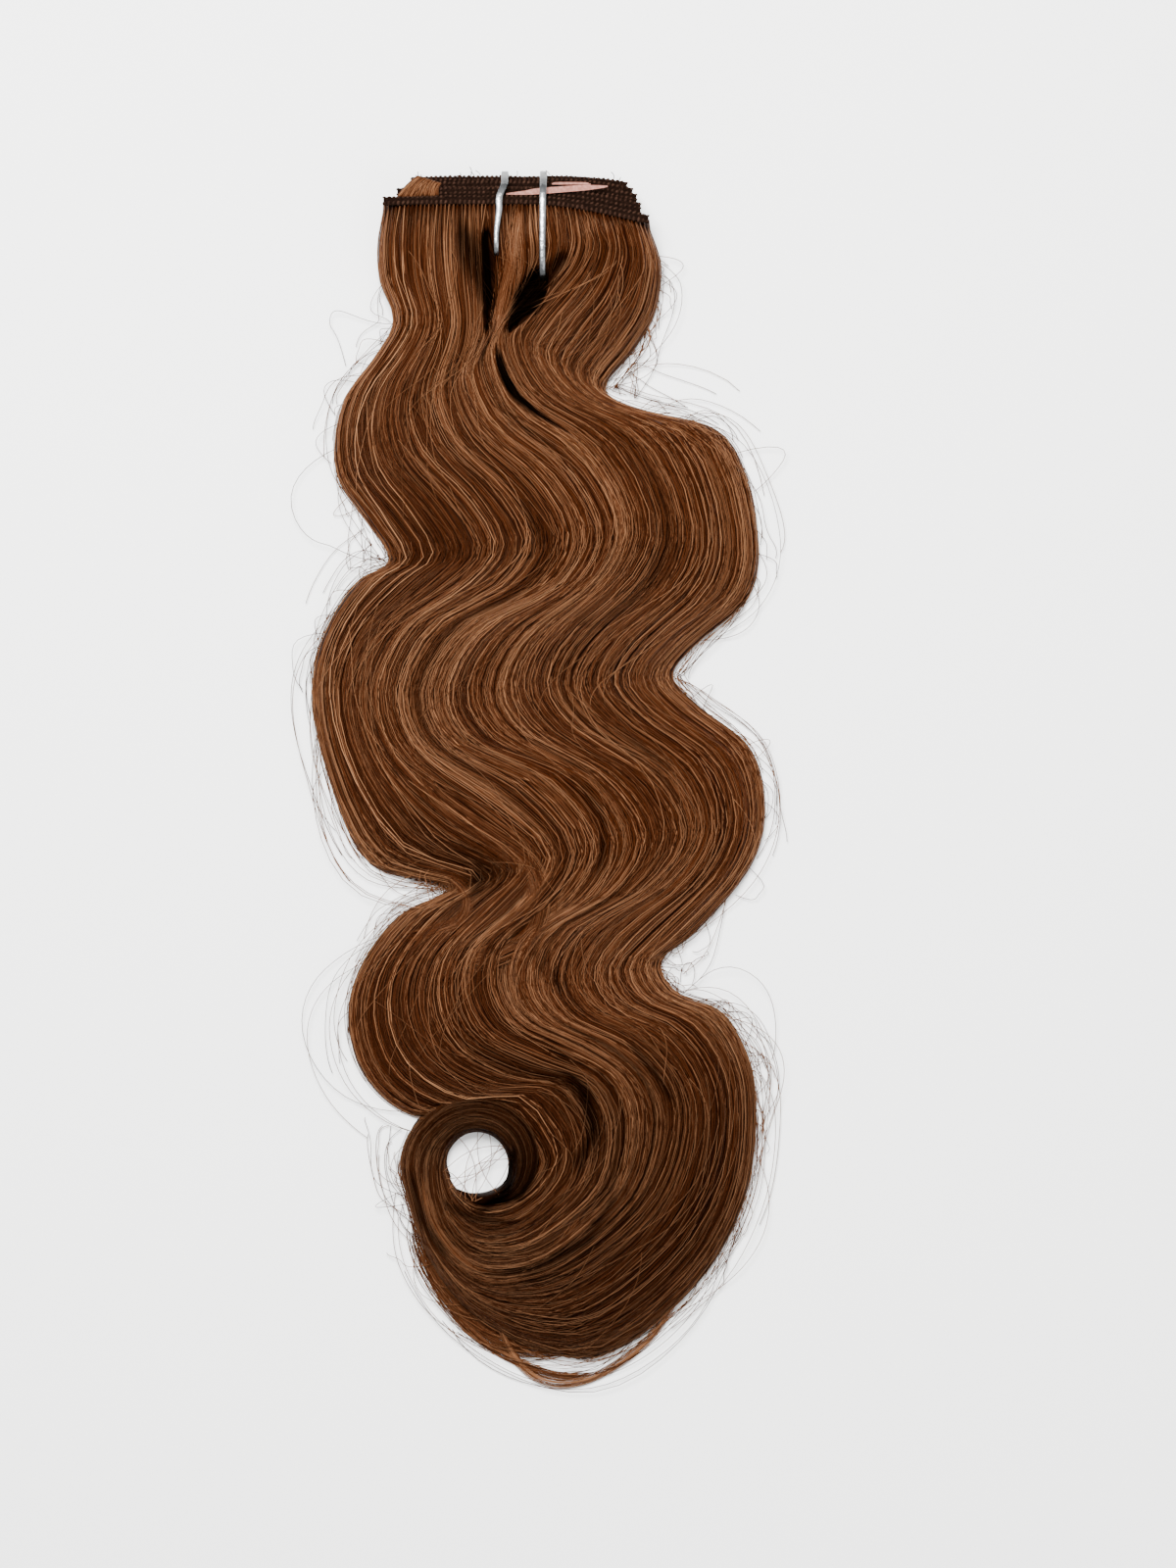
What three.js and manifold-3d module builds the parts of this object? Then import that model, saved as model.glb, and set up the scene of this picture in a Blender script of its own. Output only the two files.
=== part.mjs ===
// Clip in hair extension: a tied stack of sewn wefts with long wavy hair that ends in a curl.
// Millimetres, +Z up. It lies on its back, weft towards +Y, with its origin in the middle of its footprint.
import * as THREE from 'three';
import { mergeVertices } from 'three/addons/utils/BufferGeometryUtils.js';
import Module from 'manifold-3d';

const wasm = await Module();
wasm.setup();

// Hair
const waveSpread = 171;
const hairFall = 431;
const stackHeight = 20.3;
const hairEdgeHeight = 1.4;
const curlReach = 105;
const eyeRadius = 11.5;
const fineRelief = 0.7;
const broadRelief = 0.9;
const crossLockWidth = 9;
const hookLockWidth = 7;
const lockHeight = 3.8;
const lockSink = 1.2;
const lockRoot = 0.35;
const looseLockWidth = 3.2;
const looseLockHeight = 2.4;

// Wefts
const weftHeight = 3.7;
const shingleRise = 4.5;
const weftCornerRadius = 0.9;

// Pink tapes, foil ties and clips
const tapeThickness = 0.8;
const wideTapeWidth = 2.5;
const narrowTapeWidth = 1.1;
const tieWidth = 2.9;
const tieThickness = 0.7;
const tieFloorGap = 1;
const pocketWall = 0.5;
const clipLength = 28;
const clipToTie = 1.5;
const clipWidth = 11;
const clipHeight = 3;
const clipFrame = 2.2;
const clipSlot = 1.2;
const clearance = 0.3;

// Fineness of the faceted solids
const stepsPerRow = 2.4;
const facesAcross = 30;
const facesUnder = 4;
const tieSteps = 40;

// Strand lines from the weft down to the curl, as [share of the spread, share of the fall].
// top is the height as a share of the stack, square how boxy the section is.
const waveRows = [
  { left: [0.16, 0], inner: [0.355, -0.005], outer: [0.55, -0.005], right: [0.745, 0.01], top: 1, square: 12 },
  { left: [0.145, 0.025], inner: [0.355, 0.025], outer: [0.555, 0.01], right: [0.76, 0.025], top: 1.01, square: 8 },
  { left: [0.15, 0.055], inner: [0.36, 0.055], outer: [0.56, 0.025], right: [0.77, 0.04], top: 0.98, square: 5 },
  { left: [0.18, 0.09], inner: [0.365, 0.09], outer: [0.545, 0.045], right: [0.77, 0.055], top: 0.94, square: 4 },
  { left: [0.14, 0.12], inner: [0.36, 0.11], outer: [0.505, 0.065], right: [0.755, 0.085], top: 0.9, square: 3.5 },
  { left: [0.075, 0.155], inner: [0.345, 0.13], outer: [0.45, 0.09], right: [0.71, 0.115], top: 0.87, square: 3 },
  { left: [0.05, 0.195], inner: [0.34, 0.145], outer: [0.43, 0.11], right: [0.645, 0.15], top: 0.85, square: 2.8 },
  { left: [0.06, 0.23], inner: [0.385, 0.185], outer: [0.48, 0.155], right: [0.71, 0.17], top: 0.82, square: 2.7 },
  { left: [0.12, 0.265], inner: [0.51, 0.23], outer: [0.645, 0.2], right: [0.91, 0.2], top: 0.8, square: 2.6 },
  { left: [0.17, 0.3], inner: [0.575, 0.28], outer: [0.73, 0.27], right: [0.985, 0.28], top: 0.79, square: 2.6 },
  { left: [0.12, 0.32], inner: [0.525, 0.32], outer: [0.685, 0.315], right: [0.965, 0.33], top: 0.78, square: 2.6 },
  { left: [0.03, 0.36], inner: [0.345, 0.36], outer: [0.535, 0.37], right: [0.84, 0.375], top: 0.77, square: 2.6 },
  { left: [0, 0.41], inner: [0.27, 0.415], outer: [0.495, 0.41], right: [0.795, 0.4], top: 0.77, square: 2.6 },
  { left: [0.03, 0.48], inner: [0.31, 0.455], outer: [0.55, 0.445], right: [0.85, 0.425], top: 0.76, square: 2.6 },
  { left: [0.13, 0.565], inner: [0.5, 0.495], outer: [0.72, 0.49], right: [0.97, 0.465], top: 0.75, square: 2.6 },
  { left: [0.305, 0.585], inner: [0.6, 0.55], outer: [0.785, 0.54], right: [1, 0.52], top: 0.74, square: 2.6 },
  { left: [0.19, 0.61], inner: [0.545, 0.595], outer: [0.715, 0.585], right: [0.97, 0.565], top: 0.73, square: 2.6 },
  { left: [0.1, 0.66], inner: [0.435, 0.63], outer: [0.555, 0.625], right: [0.845, 0.625], top: 0.72, square: 2.6 },
  { left: [0.08, 0.705], inner: [0.41, 0.665], outer: [0.515, 0.665], right: [0.77, 0.65], top: 0.71, square: 2.6 },
  { left: [0.125, 0.755], inner: [0.45, 0.7], outer: [0.555, 0.695], right: [0.8, 0.675], top: 0.7, square: 2.6 },
  { left: [0.23, 0.785], inner: [0.575, 0.725], outer: [0.675, 0.72], right: [0.905, 0.695], top: 0.69, square: 2.6 },
  { left: [0.395, 0.775], inner: [0.675, 0.75], outer: [0.755, 0.75], right: [0.965, 0.735], top: 0.67, square: 2.6 },
  { left: [0.495, 0.825], inner: [0.71, 0.785], outer: [0.785, 0.785], right: [0.98, 0.78], top: 0.65, square: 2.6 },
];

// The curl winds clockwise round its open eye. turn is in degrees from the right, rim in eye radii,
// reach a share of the curl's reach, inner and outer shares of the way from rim to reach.
const eyeCentre = [0.365, 0.825];
const curlRows = [
  { turn: 8, rim: 1.85, inner: 0.42, outer: 0.55, reach: 0.97, top: 0.64, square: 2.6 },
  { turn: 30, rim: 1.7, inner: 0.36, outer: 0.48, reach: 0.9, top: 0.62, square: 2.6 },
  { turn: 60, rim: 1.5, inner: 0.36, outer: 0.46, reach: 0.815, top: 0.6, square: 2.6 },
  { turn: 90, rim: 1.35, inner: 0.5, outer: 0.64, reach: 0.56, top: 0.57, square: 2.6 },
  { turn: 120, rim: 1.15, inner: 0.55, outer: 0.75, reach: 0.37, top: 0.54, square: 2.6 },
  { turn: 150, rim: 1.05, inner: 0.45, outer: 0.68, reach: 0.285, top: 0.5, square: 2.6 },
  { turn: 180, rim: 1.02, inner: 0.36, outer: 0.66, reach: 0.275, top: 0.46, square: 2.6 },
  { turn: 204, rim: 1, inner: 0.33, outer: 0.66, reach: 0.265, top: 0.42, square: 2.6 },
];

// The last of the hair closes the ring over the top of the eye and lies on the first turn.
const tailRows = [
  { turn: 150, rim: 1, inner: 0.33, outer: 0.66, reach: 0.225, top: 0.42, square: 2.4 },
  { turn: 180, rim: 1, inner: 0.33, outer: 0.66, reach: 0.255, top: 0.5, square: 2.4 },
  { turn: 210, rim: 1, inner: 0.33, outer: 0.66, reach: 0.265, top: 0.56, square: 2.4 },
  { turn: 240, rim: 1, inner: 0.33, outer: 0.66, reach: 0.25, top: 0.6, square: 2.4 },
  { turn: 270, rim: 1, inner: 0.33, outer: 0.66, reach: 0.24, top: 0.63, square: 2.4 },
  { turn: 300, rim: 1, inner: 0.33, outer: 0.66, reach: 0.235, top: 0.64, square: 2.4 },
  { turn: 330, rim: 1, inner: 0.33, outer: 0.66, reach: 0.23, top: 0.63, square: 2.4 },
  { turn: 360, rim: 1.02, inner: 0.33, outer: 0.66, reach: 0.22, top: 0.6, square: 2.4 },
  { turn: 395, rim: 1.1, inner: 0.33, outer: 0.66, reach: 0.2, top: 0.54, square: 2.4 },
  { turn: 430, rim: 1.2, inner: 0.33, outer: 0.66, reach: 0.165, top: 0.45, square: 2.4 },
];

// Folds between the bundles: across is a share of the width, from and to count the wave rows,
// depth is a share of the stack's height and width a share of the hair's width.
const folds = [
  { across: 0.41, from: 1.2, to: 5.5, depth: 0.2, width: 0.035 },
  { across: 0.46, from: 2, to: 8, depth: 0.13, width: 0.03 },
  { across: 0.56, from: 1.4, to: 4, depth: 0.12, width: 0.035 },
  { across: 0.74, from: 7, to: 13, depth: 0.07, width: 0.03 },
  { across: 0.3, from: 9, to: 14, depth: 0.08, width: 0.03 },
  { across: 0.1, from: 13.4, to: 16.4, depth: 0.2, width: 0.05 },
  { across: 0.36, from: 15.5, to: 19, depth: 0.13, width: 0.035 },
  { across: 0.2, from: 18.6, to: 23, depth: 0.22, width: 0.04 },
  { across: 0.55, from: 19, to: 25, depth: 0.12, width: 0.035 },
  { across: 0.28, from: 20, to: 27, depth: 0.13, width: 0.03 },
  { across: 0.7, from: 22, to: 28, depth: 0.07, width: 0.03 },
];

// Locks on the mass, as [share of the spread, share of the fall] along each.
const hookLock = [[0.2, 0.575], [0.305, 0.577], [0.345, 0.594], [0.33, 0.612], [0.27, 0.623], [0.19, 0.631]];
const crossLock = [[0.19, 0.45], [0.27, 0.505], [0.39, 0.54], [0.48, 0.567], [0.5, 0.597], [0.48, 0.623],
  [0.41, 0.641], [0.31, 0.654], [0.26, 0.68]];

// The loose lock under the curl, by its turn round the eye and as shares of the curl's reach
const looseLock = [
  { turn: 84, reach: 0.56 },
  { turn: 78, reach: 0.74 },
  { turn: 72, reach: 0.83 },
  { turn: 63, reach: 0.875 },
  { turn: 46, reach: 0.885 },
  { turn: 30, reach: 0.86 },
];

// Wefts from the front to the back. left and right are shares of the front weft's line,
// ledge is how far the upper edge stands past the front weft's, as a share of a weft's height.
const wefts = [
  { name: 'weft_front', left: 0, right: 1, ledge: 0 },
  { name: 'weft_2', left: 0.05, right: 0.97, ledge: 0.72 },
  { name: 'weft_3', left: 0.1, right: 0.955, ledge: 1.12 },
  { name: 'weft_4', left: 0.12, right: 0.94, ledge: 1.26 },
  { name: 'weft_5', left: 0.1, right: 0.92, ledge: 1.38 },
];

// Tapes, with the weft that each lies on and its two ends along the front weft's line
const tapes = [
  { name: 'tape_wide', order: 1, from: 0.4, to: 0.91, width: wideTapeWidth },
  { name: 'tape_narrow', order: 2, from: 0.62, to: 0.91, width: narrowTapeWidth },
];

// Ties, with the places along the front weft's line where each crosses the edge and where it goes in,
// and how far below the weft it goes in, as a share of the fall.
const ties = [
  { name: 'tie_left', crest: 0.455, foot: 0.425, dive: 0.04, pocket: 0.05 },
  { name: 'tie_right', crest: 0.6, foot: 0.597, dive: 0.06, pocket: 0.03 },
];
// Clips, each beside a tie on the side given
const clips = [
  { name: 'clip_left', beside: ties[0], side: -1 },
  { name: 'clip_right', beside: ties[1], side: 1 },
];

const hairUnder = clipHeight + clearance;
const weftPitch = (stackHeight - hairUnder) / wefts.length;
const weftThickness = weftPitch - clearance;
const lastWeft = wefts[wefts.length - 1];

const hairMaterial = new THREE.MeshStandardMaterial({ color: 0x5f341d, roughness: 0.45, metalness: 0 });
const weftMaterial = new THREE.MeshStandardMaterial({ color: 0x3f302e, roughness: 0.8, metalness: 0 });
const tapeMaterial = new THREE.MeshStandardMaterial({ color: 0xa08077, roughness: 0.7, metalness: 0 });
const tieMaterial = new THREE.MeshStandardMaterial({ color: 0xc9c9c9, roughness: 0.25, metalness: 0.9 });
const clipMaterial = new THREE.MeshStandardMaterial({ color: 0x2a1d18, roughness: 0.4, metalness: 0.6 });

function place([across, down]) {
  return new THREE.Vector2((across - 0.5) * waveSpread, -down * hairFall);
}

function smooth(value) {
  const t = THREE.MathUtils.clamp(value, 0, 1);
  return t * t * (3 - 2 * t);
}

function spline(points) {
  return new THREE.CatmullRomCurve3(points.map((p) => new THREE.Vector3(p.x, p.y, 0)));
}

function roundEye(turn, radius) {
  const centre = place(eyeCentre);
  const angle = -THREE.MathUtils.degToRad(turn);
  return new THREE.Vector2(centre.x + radius * Math.cos(angle), centre.y + radius * Math.sin(angle));
}

function turnRow(row) {
  const rim = row.rim * eyeRadius;
  const reach = Math.max(row.reach * curlReach, rim + hairEdgeHeight);
  const at = (share) => roundEye(row.turn, THREE.MathUtils.lerp(rim, reach, share));
  return { lines: [at(0), at(row.inner), at(row.outer), at(1)], top: row.top, square: row.square };
}

function waveRow(row) {
  return { lines: [row.left, row.inner, row.outer, row.right].map(place), top: row.top, square: row.square };
}

function foldDepth(across, row) {
  let depth = 0;
  for (const fold of folds) {
    const along = (row - fold.from) / (fold.to - fold.from);
    if (along > 0 && along < 1) {
      const offset = (across - fold.across) / fold.width;
      depth += fold.depth * stackHeight * Math.sin(Math.PI * along) * Math.exp(-offset * offset);
    }
  }
  return depth;
}

function lockRelief(across, row, width) {
  const broad = Math.sin(2 * Math.PI * (4 * across + 0.13 * row)) * broadRelief;
  const fine = Math.sin(2 * Math.PI * (11 * across - 0.07 * row) + 1.3 * Math.sin(0.9 * row)) * fineRelief;
  return (broad + fine) * THREE.MathUtils.clamp(width / (0.6 * waveSpread), 0.2, 1);
}

// A ribbon of hair through the rows: flat below, crowned above, with its locks and folds
function hairSections(rows, firstRow, root) {
  const lines = [0, 1, 2, 3].map((line) => spline(rows.map((row) => row.lines[line])));
  const shape = new THREE.CatmullRomCurve3(rows.map((row) => new THREE.Vector3(row.top, row.square, 0)));
  const steps = Math.round((rows.length - 1) * stepsPerRow);
  const sections = [];
  for (let step = 0; step <= steps; step += 1) {
    const along = step / steps;
    const row = firstRow + along * (rows.length - 1);
    const across = spline(lines.map((line) => line.getPoint(along)));
    const { x: top, y: square } = shape.getPoint(along);
    const under = root ? hairUnder * (1 - smooth((row - 2) / 2)) : 0;
    const width = across.getPoint(0).distanceTo(across.getPoint(1));
    const ring = [];
    const point = (share, height, low) => {
      const depth = root ? (1 - smooth(row)) * (stackHeight - height) / (stackHeight - hairUnder) : 0;
      const squeezed = THREE.MathUtils.lerp(lastWeft.left, lastWeft.right, share);
      const flat = across.getPoint(THREE.MathUtils.lerp(share, squeezed, depth));
      ring.push(new THREE.Vector3(flat.x, flat.y + depth * shingleRise, low ? under : height));
    };
    for (let face = 0; face <= facesAcross; face += 1) {
      const even = face / facesAcross;
      const share = THREE.MathUtils.lerp(even, smooth(even), 0.45);
      const side = Math.abs(2 * share - 1);
      const crown = Math.pow(Math.max(1 - Math.pow(side, square), 0), 0.5);
      const crest = top * stackHeight - under - hairEdgeHeight;
      const relief = (lockRelief(share, row, width) - foldDepth(share, row)) * (root ? smooth(row / 2) : 1);
      const height = under + hairEdgeHeight + (crest + relief) * crown;
      point(share, Math.max(height, under + hairEdgeHeight), false);
    }
    for (let face = 0; face <= facesUnder; face += 1) {
      point(1 - face / facesUnder, under, true);
    }
    sections.push(ring);
  }
  return sections;
}

// Joins rings of points into one closed skin, with flat ends unless it meets itself
function skin(rings, looped = false) {
  const count = rings[0].length;
  const positions = rings.flat().flatMap((p) => [p.x, p.y, p.z]);
  const faces = [];
  const spans = looped ? rings.length : rings.length - 1;
  for (let span = 0; span < spans; span += 1) {
    const here = span * count;
    const next = ((span + 1) % rings.length) * count;
    for (let side = 0; side < count; side += 1) {
      const after = (side + 1) % count;
      faces.push(here + side, here + after, next + side);
      faces.push(here + after, next + after, next + side);
    }
  }
  if (!looped) {
    const last = (rings.length - 1) * count;
    for (const [a, b, c] of capFaces(rings[0])) {
      faces.push(a, c, b);
    }
    for (const [a, b, c] of capFaces(rings[rings.length - 1])) {
      faces.push(last + a, last + b, last + c);
    }
  }
  const geometry = new THREE.BufferGeometry();
  geometry.setAttribute('position', new THREE.Float32BufferAttribute(positions, 3));
  geometry.setIndex(faces);
  return geometry;
}

function capFaces(ring) {
  const first = ring[0];
  const far = ring.reduce((best, p) => (p.distanceTo(first) > best.distanceTo(first) ? p : best));
  const sideways = far.clone().sub(first).setZ(0).normalize();
  const flat = ring.map((p) => new THREE.Vector2(p.clone().sub(first).dot(sideways), p.z));
  const faces = THREE.ShapeUtils.triangulateShape(flat, []);
  return THREE.ShapeUtils.isClockWise(flat) ? faces.map(([a, b, c]) => [a, c, b]) : faces;
}

function signedVolume(geometry) {
  const at = geometry.getAttribute('position');
  const index = geometry.getIndex();
  const corners = [0, 1, 2].map(() => new THREE.Vector3());
  let volume = 0;
  for (let i = 0; i < index.count; i += 3) {
    corners.forEach((corner, k) => corner.fromBufferAttribute(at, index.getX(i + k)));
    volume += corners[0].dot(corners[1].clone().cross(corners[2])) / 6;
  }
  return volume;
}

function facingOut(geometry) {
  if (signedVolume(geometry) < 0) {
    geometry.getIndex().array.reverse();
  }
  return geometry;
}

function toSolid(source) {
  const bare = source.clone();
  bare.deleteAttribute('normal');
  bare.deleteAttribute('uv');
  const merged = facingOut(mergeVertices(bare, 1e-4));
  return new wasm.Manifold(new wasm.Mesh({
    numProp: 3,
    vertProperties: new Float32Array(merged.getAttribute('position').array),
    triVerts: new Uint32Array(merged.getIndex().array),
  }));
}

function toGeometry(solid) {
  const mesh = solid.getMesh();
  const geometry = new THREE.BufferGeometry();
  geometry.setAttribute('position', new THREE.Float32BufferAttribute(mesh.vertProperties, mesh.numProp));
  geometry.setIndex(new THREE.Uint32BufferAttribute(mesh.triVerts, 1));
  return geometry;
}

// Highest hair near a place, for what lies on it
function crestNear(skins, x, y, reach) {
  let height = 0;
  for (const rings of skins) {
    for (const ring of rings) {
      for (const p of ring) {
        if (Math.hypot(p.x - x, p.y - y) < reach) {
          height = Math.max(height, p.z);
        }
      }
    }
  }
  return height;
}

// A lock is a low rod that tapers at both ends, rooted in what it lies on
function lockRings(points, width, height, lift) {
  const path = spline(points);
  const steps = points.length * 3;
  const sides = 6;
  const centres = [];
  for (let step = 0; step <= steps; step += 1) {
    centres.push(path.getPoint(step / steps));
  }
  const lifts = centres.map((centre) => lift(centre.x, centre.y));
  return centres.map((centre, step) => {
    const ahead = path.getTangent(step / steps);
    const taper = 0.35 + 0.65 * Math.sqrt(Math.sin(Math.PI * THREE.MathUtils.clamp(step / steps, 0.02, 0.98)));
    const around = lifts.slice(Math.max(step - 2, 0), step + 3);
    const level = around.reduce((sum, value) => sum + value, 0) / around.length;
    const base = Math.max(level, height / 2);
    const ring = [];
    for (let side = 0; side < sides; side += 1) {
      const angle = 2 * Math.PI * (side + 0.5) / sides;
      const out = Math.cos(angle) * width / 2 * taper;
      const rise = Math.sin(angle);
      const z = rise > 0 ? base + rise * height / 2 * taper : base * lockRoot;
      ring.push(new THREE.Vector3(centre.x - ahead.y * out, centre.y + ahead.x * out, z));
    }
    return ring;
  });
}

const rootLine = spline(waveRow(waveRows[0]).lines);

function slope(height) {
  return (stackHeight - height) / (stackHeight - hairUnder) * shingleRise;
}

function weftRings({ left, right, ledge }, order) {
  const top = stackHeight - order * weftPitch;
  const bottom = top - weftThickness;
  const r = weftCornerRadius;
  const lower = clearance * 1.6;
  const upper = lower + weftHeight + ledge * weftHeight;
  const corners = [[lower + r, bottom], [upper - r, bottom], [upper, bottom + r], [upper, top - r],
    [upper - r, top], [lower + r, top], [lower, top - r], [lower, bottom + r]];
  const steps = 14;
  const rings = [];
  for (let step = 0; step <= steps; step += 1) {
    const share = THREE.MathUtils.lerp(left, right, step / steps);
    const at = rootLine.getPoint(share);
    rings.push(corners.map(([y, z]) => new THREE.Vector3(at.x, at.y + y + slope(z), z)));
  }
  return rings;
}

function weftLedge(order, share) {
  const at = rootLine.getPoint(share);
  const top = stackHeight - order * weftPitch;
  const upper = clearance * 1.6 + weftHeight * (1 + wefts[order].ledge);
  return new THREE.Vector3(at.x, at.y + upper + slope(top), top);
}

// A tape is a thin strip, widest in its middle, that lies on the ledge of the weft behind it
function tapeRings({ order, from, to, width }) {
  const steps = 10;
  const rings = [];
  for (let step = 0; step <= steps; step += 1) {
    const share = THREE.MathUtils.lerp(from, to, step / steps);
    const edge = weftLedge(order, share);
    const front = weftLedge(order - 1, share);
    const lower = front.y + slope(front.z - weftPitch) - slope(front.z) + clearance;
    const upper = lower + width * (0.35 + 0.65 * Math.sin(Math.PI * step / steps));
    const bottom = edge.z + clearance;
    const corners = [[lower, bottom], [upper, bottom], [upper, bottom + tapeThickness], [lower, bottom + tapeThickness]];
    rings.push(corners.map(([y, z]) => new THREE.Vector3(edge.x, y, z)));
  }
  return rings;
}

// A foil tie is one flat band, closed round the stack: over the front, over the edge and along the back
function tieRoute(tie, hair) {
  const crest = rootLine.getPoint(tie.crest);
  const foot = rootLine.getPoint(tie.foot);
  const diveY = foot.y - tie.dive * hairFall;
  const half = tieThickness / 2;
  const over = (x, y) => crestNear(hair, x, y, 2.2 * tieWidth) + clearance + half;
  const edgeFront = weftLedge(0, tie.crest);
  const edgeBack = weftLedge(wefts.length - 1, tie.crest);
  const outset = clearance + half;
  const low = tieFloorGap + half;
  const midX = THREE.MathUtils.lerp(foot.x, crest.x, 0.35);
  return [
    new THREE.Vector3(foot.x, diveY, stackHeight * 0.45),
    new THREE.Vector3(foot.x, diveY + half, over(foot.x, diveY) - 2 * outset),
    new THREE.Vector3(foot.x, diveY + tieWidth * 0.75, over(foot.x, diveY + tieWidth) + clearance),
    new THREE.Vector3(foot.x, (diveY + foot.y) / 2, over(foot.x, (diveY + foot.y) / 2) + clearance),
    new THREE.Vector3(midX, foot.y - outset, stackHeight + 2.2 * outset),
    new THREE.Vector3(midX, edgeFront.y - half, stackHeight + 2 * outset),
    ...wefts.slice(1).map((weft, order) => {
      const edge = weftLedge(order + 1, tie.crest);
      return new THREE.Vector3(crest.x, edge.y + 2 * outset, edge.z + tapeThickness + 2 * outset);
    }),
    new THREE.Vector3(crest.x, edgeBack.y + 3 * outset, hairUnder + outset),
    new THREE.Vector3(crest.x, edgeBack.y - outset, low),
    new THREE.Vector3(midX, (edgeBack.y + diveY) / 2, low),
    new THREE.Vector3(foot.x, diveY + tieWidth * 0.8, low),
    new THREE.Vector3(foot.x, diveY + half, low + tieWidth / 2),
  ];
}

function tieRings(route) {
  const path = new THREE.CatmullRomCurve3(route, true);
  const steps = tieSteps;
  const rings = [];
  for (let step = 0; step < steps; step += 1) {
    const at = path.getPointAt(step / steps);
    const ahead = path.getTangentAt(step / steps);
    const out = new THREE.Vector3(0, -ahead.z, ahead.y).normalize().multiplyScalar(tieThickness / 2);
    const wide = tieWidth / 2;
    const corners = [[-1, 0], [-0.8, 1], [0.8, 1], [1, 0], [0.8, -1], [-0.8, -1]];
    rings.push(corners.map(([w, t]) => at.clone().addScaledVector(out, t).setX(at.x + w * wide)));
  }
  return rings;
}

// The pocket that a tie pinches in the hair, open right through where the tie goes in
function tiePocket(tie) {
  const foot = rootLine.getPoint(tie.foot);
  const y = foot.y - tie.dive * hairFall;
  const half = tieWidth / 2 + pocketWall;
  const tail = tie.pocket * hairFall;
  const outline = new THREE.Shape();
  outline.moveTo(foot.x - half, y + tieThickness + pocketWall * 2);
  outline.lineTo(foot.x - half, y - half);
  outline.quadraticCurveTo(foot.x - half / 2, y - tail * 0.6, foot.x - half * 0.4, y - tail);
  outline.lineTo(foot.x + half * 0.2, y - tail);
  outline.quadraticCurveTo(foot.x + half, y - tail * 0.4, foot.x + half, y - half);
  outline.lineTo(foot.x + half, y + tieThickness + pocketWall * 2);
  outline.closePath();
  const depth = stackHeight * 1.4;
  const pocket = new THREE.ExtrudeGeometry(outline, { depth, bevelEnabled: false, curveSegments: 4 });
  pocket.translate(0, 0, -stackHeight * 0.1);
  return pocket;
}

// A clip is a slotted flat frame with round ends and a tongue
function clipGeometry({ beside, side }) {
  const crest = rootLine.getPoint(beside.crest);
  const foot = rootLine.getPoint(beside.foot);
  const tieSide = side < 0 ? Math.min(crest.x, foot.x) : Math.max(crest.x, foot.x);
  const x = tieSide + side * (tieWidth / 2 + clipToTie + clipLength / 2);
  const edge = weftLedge(wefts.length - 1, 0.5);
  const outline = roundBar(clipLength, clipWidth);
  const windowWidth = clipWidth - 2 * clipFrame;
  const tongueWidth = windowWidth - 2 * clipSlot;
  const window = roundBar(clipLength - 2 * clipFrame, windowWidth);
  const body = toSolid(new THREE.ExtrudeGeometry(outline, { depth: clipHeight, bevelEnabled: false, curveSegments: 6 }));
  const hole = new THREE.ExtrudeGeometry(window, { depth: clipHeight + 2, bevelEnabled: false, curveSegments: 6 });
  hole.translate(0, 0, -1);
  const tongue = new THREE.BoxGeometry(clipLength - 2 * clipFrame, tongueWidth, clipHeight * 0.6);
  tongue.translate(-clipSlot, 0, clipHeight / 2);
  const clip = toGeometry(body.subtract(toSolid(hole)).add(toSolid(tongue)));
  clip.translate(x, edge.y - clipWidth / 2 - weftCornerRadius, 0);
  return clip;
}

function roundBar(length, width) {
  const bar = new THREE.Shape();
  const reach = (length - width) / 2;
  bar.absarc(reach, 0, width / 2, -Math.PI / 2, Math.PI / 2);
  bar.absarc(-reach, 0, width / 2, Math.PI / 2, Math.PI * 1.5);
  bar.closePath();
  return bar;
}

function hairBody() {
  const lastWave = waveRows.length - 1;
  const bodyRows = [...waveRows.map(waveRow), ...curlRows.map(turnRow)];
  const body = hairSections(bodyRows, 0, true);
  const tail = hairSections(tailRows.map(turnRow), lastWave + curlRows.length, false);
  const onHair = (x, y) => crestNear([body], x, y, crossLockWidth / 2) - lockSink;
  const onFloor = () => looseLockHeight / 2;
  const loosePoints = looseLock.map((point) => roundEye(point.turn, point.reach * curlReach));
  const rods = [
    lockRings(hookLock.map(place), hookLockWidth, lockHeight, onHair),
    lockRings(crossLock.map(place), crossLockWidth, lockHeight, onHair),
    lockRings(loosePoints, looseLockWidth, looseLockHeight, onFloor),
  ];
  let solid = toSolid(skin(body)).add(toSolid(skin(tail)));
  for (const rings of rods) {
    solid = solid.add(toSolid(skin(rings)));
  }
  for (const tie of ties) {
    solid = solid.subtract(toSolid(tiePocket(tie)));
  }
  return { geometry: toGeometry(solid), skins: [body] };
}

function mesh(name, geometry, material) {
  const item = new THREE.Mesh(geometry, material);
  item.name = name;
  return item;
}

const group = new THREE.Group();
const hair = hairBody();
group.add(mesh('hair_body', hair.geometry, hairMaterial));
wefts.forEach((weft, order) => {
  group.add(mesh(weft.name, facingOut(skin(weftRings(weft, order))), weftMaterial));
});
for (const tape of tapes) {
  group.add(mesh(tape.name, facingOut(skin(tapeRings(tape))), tapeMaterial));
}
for (const tie of ties) {
  group.add(mesh(tie.name, facingOut(skin(tieRings(tieRoute(tie, hair.skins)), true)), tieMaterial));
}
for (const clip of clips) {
  group.add(mesh(clip.name, clipGeometry(clip), clipMaterial));
}

const box = new THREE.Box3().setFromObject(group, true);
const middle = box.getCenter(new THREE.Vector3());
group.position.set(-middle.x, -middle.y, -box.min.z);

export default group;
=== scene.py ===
import math

import bmesh
import bpy
import numpy as np
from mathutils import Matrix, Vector
from mathutils.bvhtree import BVHTree


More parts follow.
